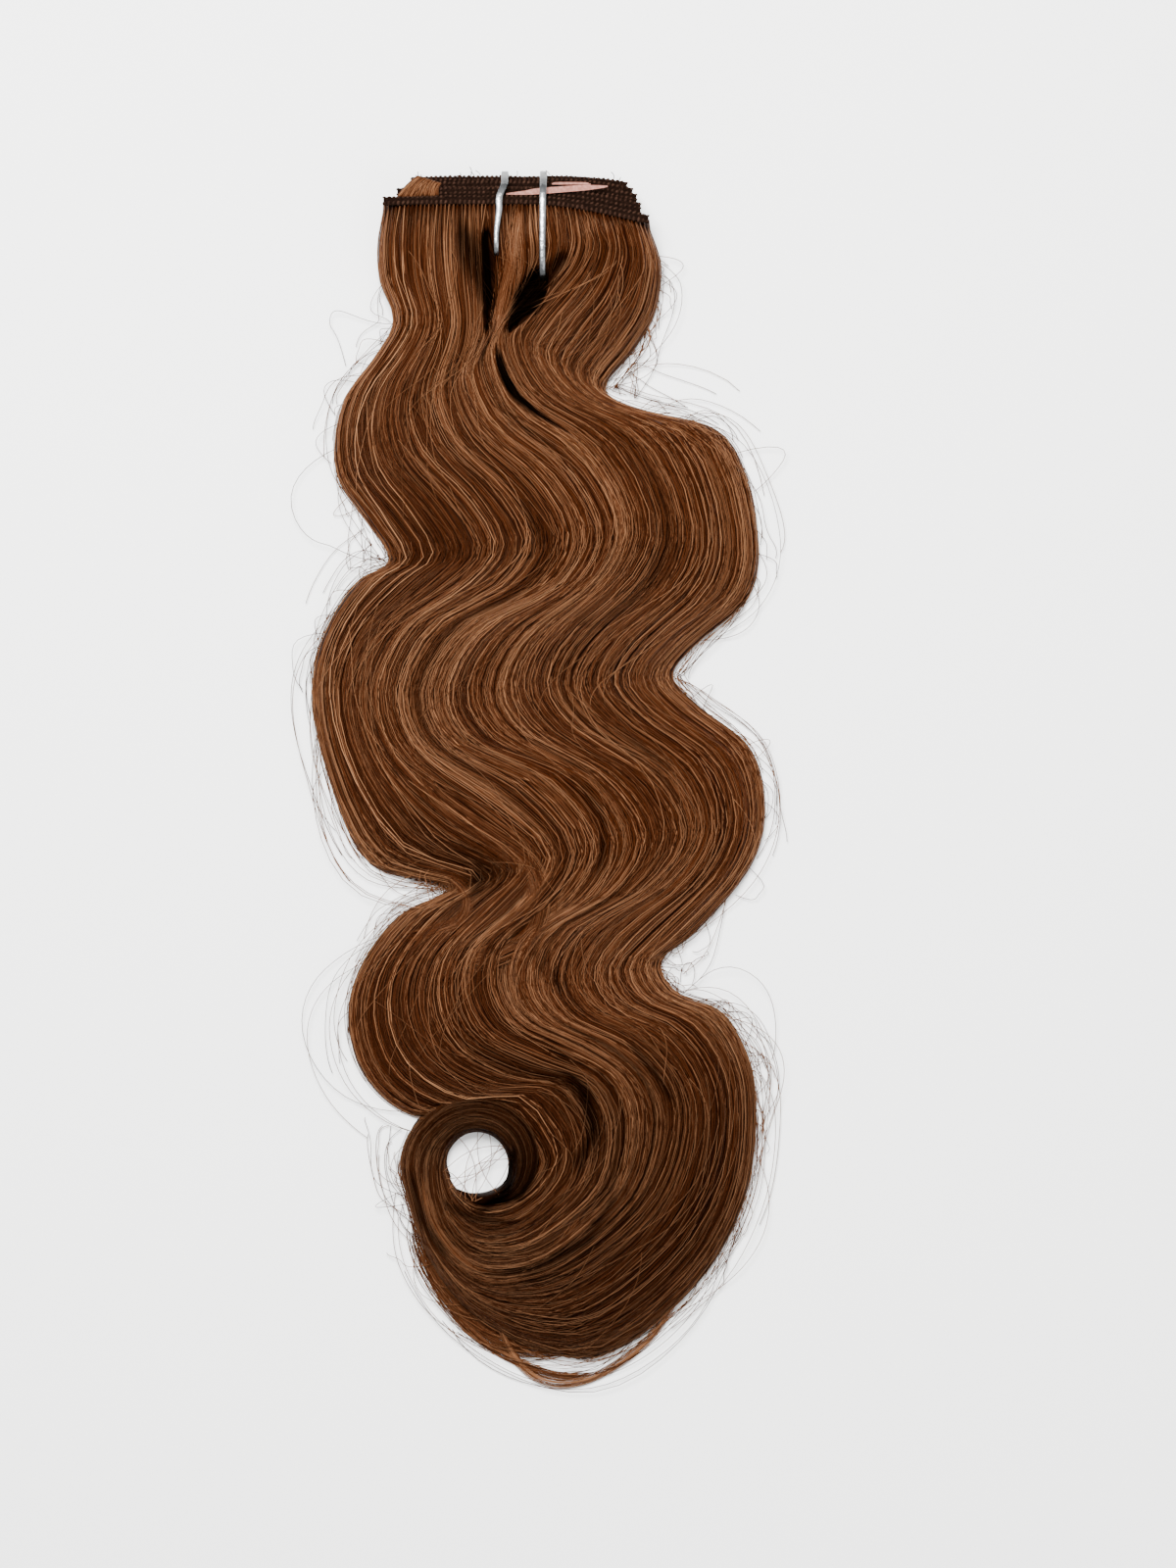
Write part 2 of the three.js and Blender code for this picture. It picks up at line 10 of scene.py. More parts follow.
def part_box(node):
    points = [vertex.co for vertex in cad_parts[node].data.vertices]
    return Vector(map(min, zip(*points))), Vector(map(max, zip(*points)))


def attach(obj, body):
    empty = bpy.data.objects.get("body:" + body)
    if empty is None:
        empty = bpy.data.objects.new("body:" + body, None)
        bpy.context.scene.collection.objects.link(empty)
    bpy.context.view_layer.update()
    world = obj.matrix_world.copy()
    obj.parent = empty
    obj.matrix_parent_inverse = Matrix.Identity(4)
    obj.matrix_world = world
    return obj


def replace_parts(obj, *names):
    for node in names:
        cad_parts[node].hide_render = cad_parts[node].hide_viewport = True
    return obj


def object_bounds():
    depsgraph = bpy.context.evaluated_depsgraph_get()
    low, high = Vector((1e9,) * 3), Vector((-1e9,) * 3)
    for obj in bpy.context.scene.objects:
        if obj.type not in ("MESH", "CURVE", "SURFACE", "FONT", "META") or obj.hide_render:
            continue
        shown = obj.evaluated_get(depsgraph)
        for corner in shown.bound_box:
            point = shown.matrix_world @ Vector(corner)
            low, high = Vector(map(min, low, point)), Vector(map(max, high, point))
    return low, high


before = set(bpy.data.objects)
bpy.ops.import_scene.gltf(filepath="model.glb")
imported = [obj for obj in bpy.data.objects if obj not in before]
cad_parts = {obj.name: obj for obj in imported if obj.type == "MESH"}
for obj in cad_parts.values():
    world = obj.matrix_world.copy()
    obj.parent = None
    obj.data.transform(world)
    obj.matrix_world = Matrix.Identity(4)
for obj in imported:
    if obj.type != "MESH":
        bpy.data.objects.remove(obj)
cad_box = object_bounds()

# The hair lies on its back as a long wavy ribbon. Its strand lines run from the sewn wefts down to a
# curl that winds clockwise round an open eye. The tables give them as shares of the spread and fall.
mm = 0.001
hair_low, hair_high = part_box("hair_body")
weft_low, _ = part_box("weft_front")
wave_spread = 171 * mm
hair_fall = 431 * mm
stack_height = 20.3 * mm
hair_under = 3.3 * mm
edge_height = 1.4 * mm
fine_relief = 0.7 * mm
broad_relief = 0.9 * mm
curl_reach = 105 * mm
eye_radius = 11.5 * mm
weft_gap = 0.48 * mm
weft_pitch = (stack_height - hair_under) / 5
root_reach = 2.6 * mm
left_edge = (hair_low.x + hair_high.x) / 2 - wave_spread / 2
root_level = weft_low.y + 0.01 * hair_fall - weft_gap
eye_centre = (0.365, 0.825)

wave_rows = [
    # left, inner, outer and right strand line, each (across, down), then height and squareness
    ((0.158, -0.006), (0.355, -0.007), (0.55, -0.005), (0.745, 0.01), 1, 12),
    ((0.145, 0.025), (0.355, 0.025), (0.555, 0.01), (0.76, 0.025), 1.01, 8),
    ((0.15, 0.055), (0.36, 0.055), (0.56, 0.025), (0.77, 0.04), 0.98, 5),
    ((0.18, 0.09), (0.365, 0.09), (0.545, 0.045), (0.77, 0.055), 0.94, 4),
    ((0.14, 0.12), (0.36, 0.11), (0.505, 0.065), (0.755, 0.085), 0.9, 3.5),
    ((0.075, 0.155), (0.345, 0.13), (0.45, 0.09), (0.71, 0.115), 0.87, 3),
    ((0.05, 0.195), (0.34, 0.145), (0.43, 0.11), (0.645, 0.15), 0.85, 2.8),
    ((0.06, 0.23), (0.385, 0.185), (0.48, 0.155), (0.715, 0.166), 0.82, 2.7),
    ((0.12, 0.265), (0.51, 0.23), (0.645, 0.2), (0.912, 0.19), 0.8, 2.6),
    ((0.17, 0.3), (0.575, 0.28), (0.73, 0.27), (0.985, 0.28), 0.79, 2.6),
    ((0.102, 0.316), (0.525, 0.32), (0.685, 0.315), (0.965, 0.33), 0.78, 2.6),
    ((0.03, 0.36), (0.345, 0.36), (0.535, 0.37), (0.84, 0.375), 0.77, 2.6),
    ((0, 0.41), (0.27, 0.415), (0.495, 0.41), (0.795, 0.4), 0.77, 2.6),
    ((0.03, 0.48), (0.31, 0.455), (0.55, 0.445), (0.85, 0.425), 0.76, 2.6),
    ((0.13, 0.565), (0.5, 0.495), (0.72, 0.49), (0.97, 0.465), 0.75, 2.6),
    ((0.305, 0.585), (0.6, 0.55), (0.785, 0.54), (1, 0.52), 0.74, 2.6),
    ((0.19, 0.61), (0.545, 0.595), (0.715, 0.585), (0.97, 0.565), 0.73, 2.6),
    ((0.1, 0.66), (0.435, 0.63), (0.555, 0.625), (0.845, 0.625), 0.72, 2.6),
    ((0.08, 0.705), (0.41, 0.665), (0.515, 0.665), (0.77, 0.65), 0.71, 2.6),
    ((0.125, 0.755), (0.45, 0.7), (0.555, 0.695), (0.8, 0.675), 0.7, 2.6),
    ((0.23, 0.785), (0.575, 0.725), (0.675, 0.72), (0.905, 0.695), 0.69, 2.6),
    ((0.395, 0.775), (0.675, 0.75), (0.755, 0.75), (0.965, 0.735), 0.67, 2.6),
    ((0.495, 0.825), (0.71, 0.785), (0.785, 0.785), (0.98, 0.78), 0.65, 2.6),
]
curl_rows = [
    # turn in degrees, rim in eye radii, inner and outer share, reach, height, squareness
    (8, 1.85, 0.42, 0.55, 0.97, 0.64, 2.6),
    (30, 1.7, 0.36, 0.48, 0.9, 0.62, 2.6),
    (60, 1.5, 0.36, 0.46, 0.815, 0.6, 2.6),
    (90, 1.35, 0.5, 0.64, 0.56, 0.57, 2.6),
    (120, 1.15, 0.55, 0.75, 0.37, 0.54, 2.6),
    (150, 1.05, 0.45, 0.68, 0.285, 0.5, 2.6),
    (180, 1.02, 0.36, 0.66, 0.275, 0.46, 2.6),
    (204, 1, 0.33, 0.66, 0.265, 0.42, 2.6),
]
tail_rows = [
    (150, 1, 0.33, 0.66, 0.225, 0.42, 2.4),
    (180, 1, 0.33, 0.66, 0.255, 0.5, 2.4),
    (210, 1, 0.33, 0.66, 0.265, 0.56, 2.4),
    (240, 1, 0.33, 0.66, 0.25, 0.6, 2.4),
    (270, 1, 0.33, 0.66, 0.24, 0.63, 2.4),
    (300, 1, 0.33, 0.66, 0.235, 0.64, 2.4),
    (330, 1, 0.33, 0.66, 0.23, 0.63, 2.4),
    (360, 1.02, 0.33, 0.66, 0.22, 0.6, 2.4),
    (395, 1.1, 0.33, 0.66, 0.2, 0.54, 2.4),
    (430, 1.02, 0.33, 0.66, 0.165, 0.45, 2.4),
    (465, 1.05, 0.33, 0.66, 0.155, 0.35, 2.4),
    (500, 1.2, 0.33, 0.66, 0.15, 0.25, 2.4),
]
folds = [
    # across, from row, to row, depth and width
    (0.41, 1.2, 5.5, 0.2, 0.035),
    (0.46, 2, 8, 0.13, 0.03),
    (0.56, 1.4, 4, 0.12, 0.035),
    (0.74, 7, 13, 0.07, 0.03),
    (0.3, 9, 14, 0.08, 0.03),
    (0.1, 13.4, 16.4, 0.2, 0.05),
    (0.36, 15.5, 19, 0.13, 0.035),
    (0.2, 18.6, 23, 0.22, 0.04),
    (0.55, 19, 25, 0.12, 0.035),
    (0.28, 20, 27, 0.13, 0.03),
    (0.7, 22, 28, 0.07, 0.03),
]


def place(across, down):
    return np.array([left_edge + across * wave_spread, root_level - down * hair_fall])


def round_eye(turn, radius):
    """A place round the curl's eye, with the turn in degrees clockwise from the right."""
    angle = -math.radians(turn)
    return place(*eye_centre) + radius * np.array([math.cos(angle), math.sin(angle)])


def wave_lines(row):
    return [place(*point) for point in row[:4]] + [np.array([row[4], row[5]])]


def turn_lines(row):
    turn, rim, inner, outer, reach, top, square = row
    near, far = rim * eye_radius, reach * curl_reach
    lines = [round_eye(turn, near + (far - near) * share) for share in (0, inner, outer, 1)]
    return lines + [np.array([top, square])]


def spline(points, at):
    """A smooth curve through points, read at places counted in points. It doesn't swing past them."""
    points = np.asarray(points, float)
    padded = np.concatenate([2 * points[:1] - points[1:2], points, 2 * points[-1:] - points[-2:-1]])
    first = np.clip(np.floor(at).astype(int), 0, len(points) - 2)
    t = (np.asarray(at) - first).reshape((-1,) + (1,) * (points.ndim - 1))
    a, b, c, d = (padded[first + k] for k in range(4))

    def knot(p, q):
        return np.maximum(np.sqrt(np.linalg.norm(q - p, axis=-1, keepdims=True)), 1e-6)

    ab, bc, cd = knot(a, b), knot(b, c), knot(c, d)
    start = ((b - a) / ab - (c - a) / (ab + bc) + (c - b) / bc) * bc
    end = ((c - b) / bc - (d - b) / (bc + cd) + (d - c) / cd) * bc
    rise = -3 * b + 3 * c - 2 * start - end
    turn = 2 * b - 2 * c + start + end
    return b + start * t + rise * t**2 + turn * t**3


def smooth(value):
    t = np.clip(value, 0, 1)
    return t * t * (3 - 2 * t)


def fold_depth(across, row):
    """How deep the folds are at a place, as a share of the stack's height."""
    total = 0
    for fold_across, start, end, depth, width in folds:
        along = np.clip((row - start) / (end - start), 0, 1)
        offset = (across - fold_across) / width
        total = total + depth * np.sin(np.pi * along) * np.exp(-offset * offset)
    return total


# Narrow places where the hair parts and is painted dark in shade. In the darkest ones the strands also move
# aside.
open_parting = 0.9
partings = [
    # route as (across, down, half width in mm), and how dark its painted shade is
    ([(0.385, 0.016, 1.6), (0.388, 0.042, 2.8), (0.39, 0.07, 2.6), (0.387, 0.099, 0.8)], 1),
    ([(0.503, 0.056, 4), (0.478, 0.073, 4.8), (0.455, 0.087, 3), (0.434, 0.099, 1.2)], 1),
    ([(0.552, 0.038, 3), (0.515, 0.055, 4.5)], 0.85),
    ([(0.411, 0.116, 0.9), (0.424, 0.14, 1.6), (0.449, 0.158, 1.6), (0.49, 0.171, 1.1),
      (0.53, 0.18, 0.5)], 0.95),
    ([(0.335, 0.014, 3), (0.355, 0.03, 6.5), (0.38, 0.055, 5), (0.392, 0.08, 3)], 0.82),
    ([(0.247, 0.272, 1.5), (0.29, 0.285, 1.2)], 0.5),
    ([(0.463, 0.252, 0.8), (0.508, 0.278, 1.2), (0.484, 0.296, 0.8)], 0.55),
    ([(0.717, 0.283, 0.9), (0.723, 0.328, 0.8)], 0.4),
    ([(0.7, 0.455, 1.2), (0.768, 0.476, 1.8)], 0.45),
    ([(0.59, 0.485, 0.9), (0.643, 0.526, 1.4), (0.643, 0.57, 1)], 0.6),
    ([(0.395, 0.54, 1.8), (0.375, 0.57, 2.4), (0.355, 0.593, 1.5)], 0.75),
    ([(0.49, 0.635, 1.1), (0.52, 0.655, 2), (0.549, 0.674, 1.2)], 0.65),
    ([(0.355, 0.68, 1), (0.323, 0.712, 1.3)], 0.4),
    ([(0.53, 0.72, 1), (0.607, 0.767, 2.3), (0.622, 0.802, 2.6), (0.583, 0.827, 1.6)], 0.75),
    ([(0.695, 0.718, 1), (0.75, 0.742, 1.8), (0.792, 0.768, 1.4)], 0.6),
    ([(0.4, 0.922, 0.9), (0.5, 0.915, 1.7), (0.613, 0.891, 1.8), (0.663, 0.853, 1)], 0.75),
    ([(0.445, 0.815, 1.6), (0.428, 0.853, 2.2), (0.372, 0.868, 1.4)], 0.85),
    ([(0.29, 0.86, 1.2), (0.36, 0.874, 1.7), (0.45, 0.878, 1.2)], 0.65),
    ([(0.22, 0.835, 1.4), (0.243, 0.876, 2), (0.295, 0.903, 1.5)], 0.6),
]
parting_push = 1.1
open_strength = 1.6
edge_starts = np.array([point for route, _ in partings for point in route[:-1]])
edge_ends = np.array([point for route, _ in partings for point in route[1:]])
edge_darks = np.array([dark for route, dark in partings for _ in route[:-1]])


def part_hair(flat):
    """Where a strand goes round the partings, and how strongly each of its places is parted."""
    size = np.array([wave_spread, -hair_fall])
    start = edge_starts[:, :2] * size + (left_edge, root_level)
    step = edge_ends[:, :2] * size + (left_edge, root_level) - start
    gap = flat[:, None] - start
    share = np.clip((gap * step).sum(-1) / (step * step).sum(-1), 0, 1)
    off = gap - share[..., None] * step
    distance = np.maximum(np.linalg.norm(off, axis=-1), 1e-6)
    half = (edge_starts[:, 2] * (1 - share) + edge_ends[:, 2] * share) * mm
    pull = edge_darks * np.exp(-((distance / half) ** 3))
    nearest = pull.argmax(axis=1)
    each = np.arange(len(flat))
    strength = pull[each, nearest]
    away = off[each, nearest] / distance[each, nearest][:, None]
    opened = edge_darks[nearest] > open_parting
    shift = parting_push * half[each, nearest] * strength**2 * opened
    strength = np.where(opened, np.minimum(open_strength * strength, 1), strength)
    aside = away * shift[:, None]
    for _ in range(3):
        aside[1:-1] = (aside[:-2] + 2 * aside[1:-1] + aside[2:]) / 4
    return flat + aside, strength


class Ribbon:
    """Hair between two edges, with a place and a height for each share across and row along."""

    across_steps = 160
    row_steps = 24

    def __init__(self, rows, first_row, rooted):
        self.first_row = first_row
        self.last_row = first_row + len(rows) - 1
        self.rooted = rooted
        along = np.linspace(0, len(rows) - 1, (len(rows) - 1) * self.row_steps + 1)
        lines = np.stack([spline([row[k] for row in rows], along) for k in range(4)])
        shape = spline([row[4] for row in rows], along)
        self.top, self.square = shape[:, 0], shape[:, 1]
        self.grid = spline(lines, np.linspace(0, 3, self.across_steps + 1))
        self.width = np.linalg.norm(lines[3] - lines[0], axis=-1)

    def look_up(self, across, row):
        x = np.clip(across, 0, 1) * self.across_steps
        y = np.clip(row - self.first_row, 0, self.last_row - self.first_row) * self.row_steps
        i = np.minimum(x.astype(int), self.grid.shape[0] - 2)
        j = np.minimum(y.astype(int), self.grid.shape[1] - 2)
        return i, j, x - i, y - j

    def flat(self, across, row):
        i, j, fx, fy = self.look_up(across, row)
        fx, fy = fx[..., None], fy[..., None]
        grid = self.grid
        near = grid[i, j] * (1 - fx) + grid[i + 1, j] * fx
        far = grid[i, j + 1] * (1 - fx) + grid[i + 1, j + 1] * fx
        return near * (1 - fy) + far * fy

    def under(self, row):
        """The height of what the hair lies on: the flat underside's rise towards the wefts."""
        return hair_under * (1 - smooth((row - 2) / 2)) if self.rooted else np.zeros_like(row)

    def height(self, across, row):
        _, j, _, _ = self.look_up(across, row)
        side = np.clip(np.abs(2 * across - 1), 0, 1)
        crown = np.sqrt(np.maximum(1 - side ** self.square[j], 0))
        under = self.under(row)
        broad = np.sin(2 * np.pi * (4 * across + 0.13 * row)) * broad_relief
        fine = np.sin(2 * np.pi * (11 * across - 0.07 * row) + 1.3 * np.sin(0.9 * row)) * fine_relief
        relief = (broad + fine) * np.clip(self.width[j] / (0.6 * wave_spread), 0.2, 1)
        relief = relief - fold_depth(across, row) * stack_height
        if self.rooted:
            relief = relief * smooth(row / 2)
        crest = self.top[j] * stack_height - under - edge_height
        return under + edge_height + np.maximum(crest + relief, 0) * crown


last_wave = len(wave_rows) - 1
body_rows = [wave_lines(row) for row in wave_rows] + [turn_lines(row) for row in curl_rows]
body = Ribbon(body_rows, 0, True)
tail = Ribbon([turn_lines(row) for row in tail_rows], len(body_rows), False)
winding = Ribbon(body_rows + [turn_lines(row) for row in tail_rows[3:]], 0, True)


# The mass under the loose strands is the inner hair: a closed cushion of packed locks whose surface
# lies a little under the strands, painted in shade where it shows between them, and streaked along its
# length.
mass_sink = 1.3 * mm
chance = np.random.default_rng(7)
hair_dark = (0.009, 0.0013, 0.0003)
hair_middle = (0.038, 0.0095, 0.0024)
hair_light = (0.2, 0.093, 0.044)


def shaded(nodes, links, colour):
    """The shader's colour, made darker by the shade painted in green; gives the painted parts."""
    painted = nodes.new("ShaderNodeAttribute")
    painted.attribute_name = "strand"
    parts = nodes.new("ShaderNodeSeparateColor")
    links.new(painted.outputs["Color"], parts.inputs["Color"])
    shade = nodes.new("ShaderNodeMix")
    shade.data_type = "RGBA"
    shade.blend_type = "MULTIPLY"
    shade.inputs["Factor"].default_value = 1
    links.new(colour, shade.inputs["A"])
    links.new(parts.outputs["Green"], shade.inputs["B"])
    links.new(shade.outputs["Result"], nodes["Principled BSDF"].inputs["Base Color"])
    return parts


def hair_material(name, roughness):
    """Brown hair whose tone and shade are painted on each strand."""
    material = bpy.data.materials.new(name)
    material.use_nodes = True
    nodes, links = material.node_tree.nodes, material.node_tree.links
    shader = nodes["Principled BSDF"]
    shader.inputs["Roughness"].default_value = roughness
    shader.inputs["Specular Tint"].default_value = (1, 0.62, 0.36, 1)
    tones = nodes.new("ShaderNodeValToRGB")
    tones.name = "tones"
    tones.color_ramp.elements[0].color = (*hair_dark, 1)
    tones.color_ramp.elements[1].color = (*hair_light, 1)
    centre = tones.color_ramp.elements.new(0.5)
    centre.color = (*hair_middle, 1)
    parts = shaded(nodes, links, tones.outputs["Color"])
    links.new(parts.outputs["Red"], tones.inputs["Fac"])
    gloss = nodes.new("ShaderNodeMath")
    gloss.operation = "MULTIPLY"
    gloss.inputs[1].default_value = 0.11
    links.new(parts.outputs["Green"], gloss.inputs[0])
    links.new(gloss.outputs["Value"], shader.inputs["Specular IOR Level"])
    return material


def streak(nodes, links, flow, wide, long):
    """Noise drawn out along the hair, in streaks of the given width and length."""
    mapping = nodes.new("ShaderNodeMapping")
    mapping.inputs["Scale"].default_value = (1 / wide, 1 / long, 1)
    noise = nodes.new("ShaderNodeTexNoise")
    noise.inputs["Scale"].default_value = 1
    noise.inputs["Detail"].default_value = 3
    links.new(flow.outputs["Vector"], mapping.inputs["Vector"])
    links.new(mapping.outputs["Vector"], noise.inputs["Vector"])
    return noise.outputs["Fac"]


def packed_material(name):
    """Hair that reads as packed strands: streaks in its tone and fine grooves along its flow."""
    material = hair_material(name, 0.5)
    nodes, links = material.node_tree.nodes, material.node_tree.links
    flow = nodes.new("ShaderNodeAttribute")
    flow.attribute_name = "flow"
    fine = streak(nodes, links, flow, 0.45 * mm, 24 * mm)
    broad = streak(nodes, links, flow, 1.6 * mm, 60 * mm)
    both = nodes.new("ShaderNodeMath")
    both.operation = "ADD"
    links.new(fine, both.inputs[0])
    links.new(broad, both.inputs[1])
    tone = nodes.new("ShaderNodeMath")
    tone.operation = "MULTIPLY_ADD"
    tone.inputs[1].default_value = 1.1
    tone.inputs[2].default_value = -0.8
    links.new(both.outputs["Value"], tone.inputs[0])
    links.new(tone.outputs["Value"], nodes["tones"].inputs["Fac"])
    bump = nodes.new("ShaderNodeBump")
    bump.inputs["Strength"].default_value = 0.9
    bump.inputs["Distance"].default_value = 0.5 * mm
    links.new(fine, bump.inputs["Height"])
    links.new(bump.outputs["Normal"], nodes["Principled BSDF"].inputs["Normal"])
    return material


strand_material = hair_material("hair_strands", 0.3)
mass_material = packed_material("hair_packed")

# Painted shade on the mass under the strands, in the folds and in the partings, where the mass also sinks
mass_shade = 0.6
fold_shade = 2.5
parting_shade = 0.97
mass_parting = 3 * mm
daylight = np.array([
    # row, share of the light that reaches it
    (0, 0.6), (0.4, 0.9), (1, 1.12), (5, 1.06), (8, 1.0), (12, 0.97), (16, 0.99), (18, 0.98), (21, 0.76),
    (24, 0.62), (28, 0.5), (31, 0.31), (40, 0.28),
])


def light_on(row, parted):
    """The light along the hair, nearly gone in a parting."""
    return np.interp(row, daylight[:, 0], daylight[:, 1]) * (1 - parting_shade * parted)


def fold_light(across, row):
    return 1 - fold_shade * fold_depth(across, row)


def paint(mesh, tone, shade):
    """Tone in red and shade in green, for each vertex."""
    colours = np.ones((len(mesh.vertices), 4), np.float32)
    colours[:, 0] = tone
    colours[:, 1] = shade
    layer = mesh.attributes.new("strand", "FLOAT_COLOR", "POINT")
    layer.data.foreach_set("color", colours.ravel())


def add_piece(name, mesh, material):
    piece = bpy.data.objects.new(name, mesh)
    bpy.context.scene.collection.objects.link(piece)
    mesh.materials.append(material)
    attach(piece, "root")
    return piece


def top_copy(made):
    return [item for item in made["geom"] if isinstance(item, bmesh.types.BMVert)]


def shell_level(ribbon, across, row, parted):
    """The height of a cushion's top, which comes down to what it lies on at a free end."""
    level = ribbon.height(across, row) - mass_sink - mass_parting * parted
    if not ribbon.rooted:
        level = level * smooth((ribbon.last_row - row) / 2.5) * smooth((row - ribbon.first_row) / 4)
    under = ribbon.under(row)
    level = np.maximum(level, under + 0.5 * mm)
    if ribbon.rooted:
        level = under + (level - under) * smooth(0.1 + (ribbon.last_row - row) / 1.5)
        level[row < 0.01] = np.minimum(level[row < 0.01], stack_height - weft_pitch)
    return level


def mass_shell(ribbon, across_faces, row_faces, name):
    """A closed cushion: a grid laid over the ribbon's surface and extruded down to what it lies on."""
    shell = bmesh.new()
    bmesh.ops.create_grid(shell, x_segments=across_faces, y_segments=row_faces, size=0.5)
    shares = np.array([(v.co.x + 0.5, v.co.y + 0.5) for v in shell.verts])
    across = shares[:, 0]
    row = ribbon.first_row + shares[:, 1] * (ribbon.last_row - ribbon.first_row)
    flat = ribbon.flat(across, row)
    _, parted = part_hair(flat)
    level = shell_level(ribbon, across, row, parted)
    if ribbon.rooted:
        flat[row < 0.01, 1] += root_reach
    for vertex, spot, z in zip(shell.verts, flat, level):
        vertex.co = (spot[0], spot[1], z)
    top = list(shell.faces)
    made = bmesh.ops.extrude_face_region(shell, geom=top, use_keep_orig=True)
    for vertex, low in zip(top_copy(made), ribbon.under(row)):
        vertex.co.z = low + 0.1 * mm
    bmesh.ops.recalc_face_normals(shell, faces=shell.faces)
    mesh = bpy.data.meshes.new(name)
    shell.to_mesh(mesh)
    shell.free()
    mesh.shade_smooth()
    # Painted shade: the mass under the strands, the light along the rows, and the folds and partings
    light = mass_shade * light_on(row, parted) * fold_light(across, row)
    paint(mesh, 0.5, np.tile(np.clip(light, 0.01, 1), 2))
    flow = mesh.attributes.new("flow", "FLOAT_VECTOR", "POINT")
    spread = np.column_stack([across * 0.75 * wave_spread, row * hair_fall / last_wave, np.zeros_like(row)])
    flow.data.foreach_set("vector", np.tile(spread, (2, 1)).astype(np.float32).ravel())
    return mesh


mass_mesh = mass_shell(body, 64, 210, "hair_mass")
hair_mass = add_piece("hair_mass", mass_mesh, mass_material)
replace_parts(hair_mass, "hair_body")
curl_mesh = mass_shell(tail, 24, 90, "hair_curl_end")
add_piece("hair_curl_end", curl_mesh, mass_material)

# What the loose locks and hairs are laid on
ground = BVHTree.FromPolygons(
    [v.co for m in (mass_mesh, curl_mesh) for v in m.vertices],
    [list(p.vertices) for p in mass_mesh.polygons]
    + [[i + len(mass_mesh.vertices) for i in p.vertices] for p in curl_mesh.polygons],
)


# The strands that show are fine closed fibres that follow the lines of the mass in small locks.
# Each lock wanders a little, and its strands leave and join it, so that dark gaps open between locks.
broad_count = 13
lock_count = 150
strand_count = 1480
tuft_count = 66
steps_per_row = 2.65
strand_radius = 0.15 * mm
pieces_of_hair = 5
sway = 0.002
curl_row = 21
overlap_row = 30
curl_spread = 0.07
finer_shares = (0.28, 0.75)
finer_rows = (1, 6.5)
# Strands near the edges are lighter in tone: a painted highlight, and how far in it reaches
rim_highlight = 0.28
rim_highlight_width = 0.022
last_row = winding.last_row - 2
lock_centres = np.sort((np.arange(lock_count) + chance.uniform(0, 1, lock_count)) / lock_count)
lock_tones = chance.normal(0, 0.055, lock_count)
lock_waves = chance.uniform(0, 2 * np.pi, (lock_count, 4))
broad_tones = chance.normal(0, 0.045, broad_count)
broad_waves = chance.uniform(0, 2 * np.pi, (broad_count, 2))


def over_tail(row):
    """How far the winding hair is raised over the curl's end that it lies on."""
    return 0.9 * mm * smooth((row - overlap_row) / 3)


def tube_rings(path, radius, twist):
    """Rings of three points along a path."""
    ahead = np.gradient(path, axis=0)
    ahead /= np.maximum(np.linalg.norm(ahead, axis=1, keepdims=True), 1e-9)
    side = np.cross(ahead, (0, 0, 1.0))
    side /= np.maximum(np.linalg.norm(side, axis=1, keepdims=True), 1e-9)
    up = np.cross(side, ahead)
    rings = []
    for corner in range(3):
        angle = twist + corner * 2 * math.pi / 3
        rings.append(path + radius[:, None] * (math.cos(angle) * side + math.sin(angle) * up))
    return np.stack(rings, axis=1)


def fibres(name, strands, material):
    """One mesh of closed three-sided fibres from (path, radius, tone, shade) strands."""
    places, tones, shades, quads, ends = [], [], [], [], []
    count = 0
    for path, radius, tone, shade in strands:
        steps = len(path)
        places.append(tube_rings(path, radius, chance.uniform(0, 2)).reshape(-1, 3))
        tones.append(np.repeat(np.broadcast_to(tone, steps), 3))
        shades.append(np.repeat(np.broadcast_to(shade, steps), 3))
        here = count + 3 * np.arange(steps - 1)[:, None] + np.arange(3)
        after = count + 3 * np.arange(steps - 1)[:, None] + np.array([1, 2, 0])
        quads.append(np.stack([here, after, after + 3, here + 3], axis=-1).reshape(-1, 4))
        last = count + 3 * (steps - 1)
        ends += [(count + 2, count + 1, count), (last, last + 1, last + 2)]
        count += 3 * steps
    mesh = bpy.data.meshes.new(name)
    mesh.from_pydata(np.concatenate(places).tolist(), [], np.concatenate(quads).tolist() + ends)
    mesh.shade_smooth()
    paint(mesh, np.clip(np.concatenate(tones), 0, 1), np.clip(np.concatenate(shades), 0, 1))
    return add_piece(name, mesh, material)


def strand_rows(share):
    """Rows that a strand runs over. Most wind on round the eye, some end on the way or start late."""
    far = chance.uniform()
    if far < 0.2:
        end = chance.uniform(20, 25)
    elif far < 0.5:
        end = chance.uniform(25, 29.5)
    else:
        end = chance.uniform(31.5, last_row - 0.2)
    start = 0 if chance.uniform() < 0.88 else chance.uniform(0, 12)
    row = np.linspace(start, end, max(int((end - start) * steps_per_row), 6))
    row[1:-1] += chance.uniform(-0.4, 0.4) / steps_per_row
    if finer_shares[0] < share < finer_shares[1]:
        between = (row[:-1] + row[1:]) / 2
        between = between[(between > finer_rows[0]) & (between < finer_rows[1])]
        row = np.sort(np.concatenate([row, between]))
    return row


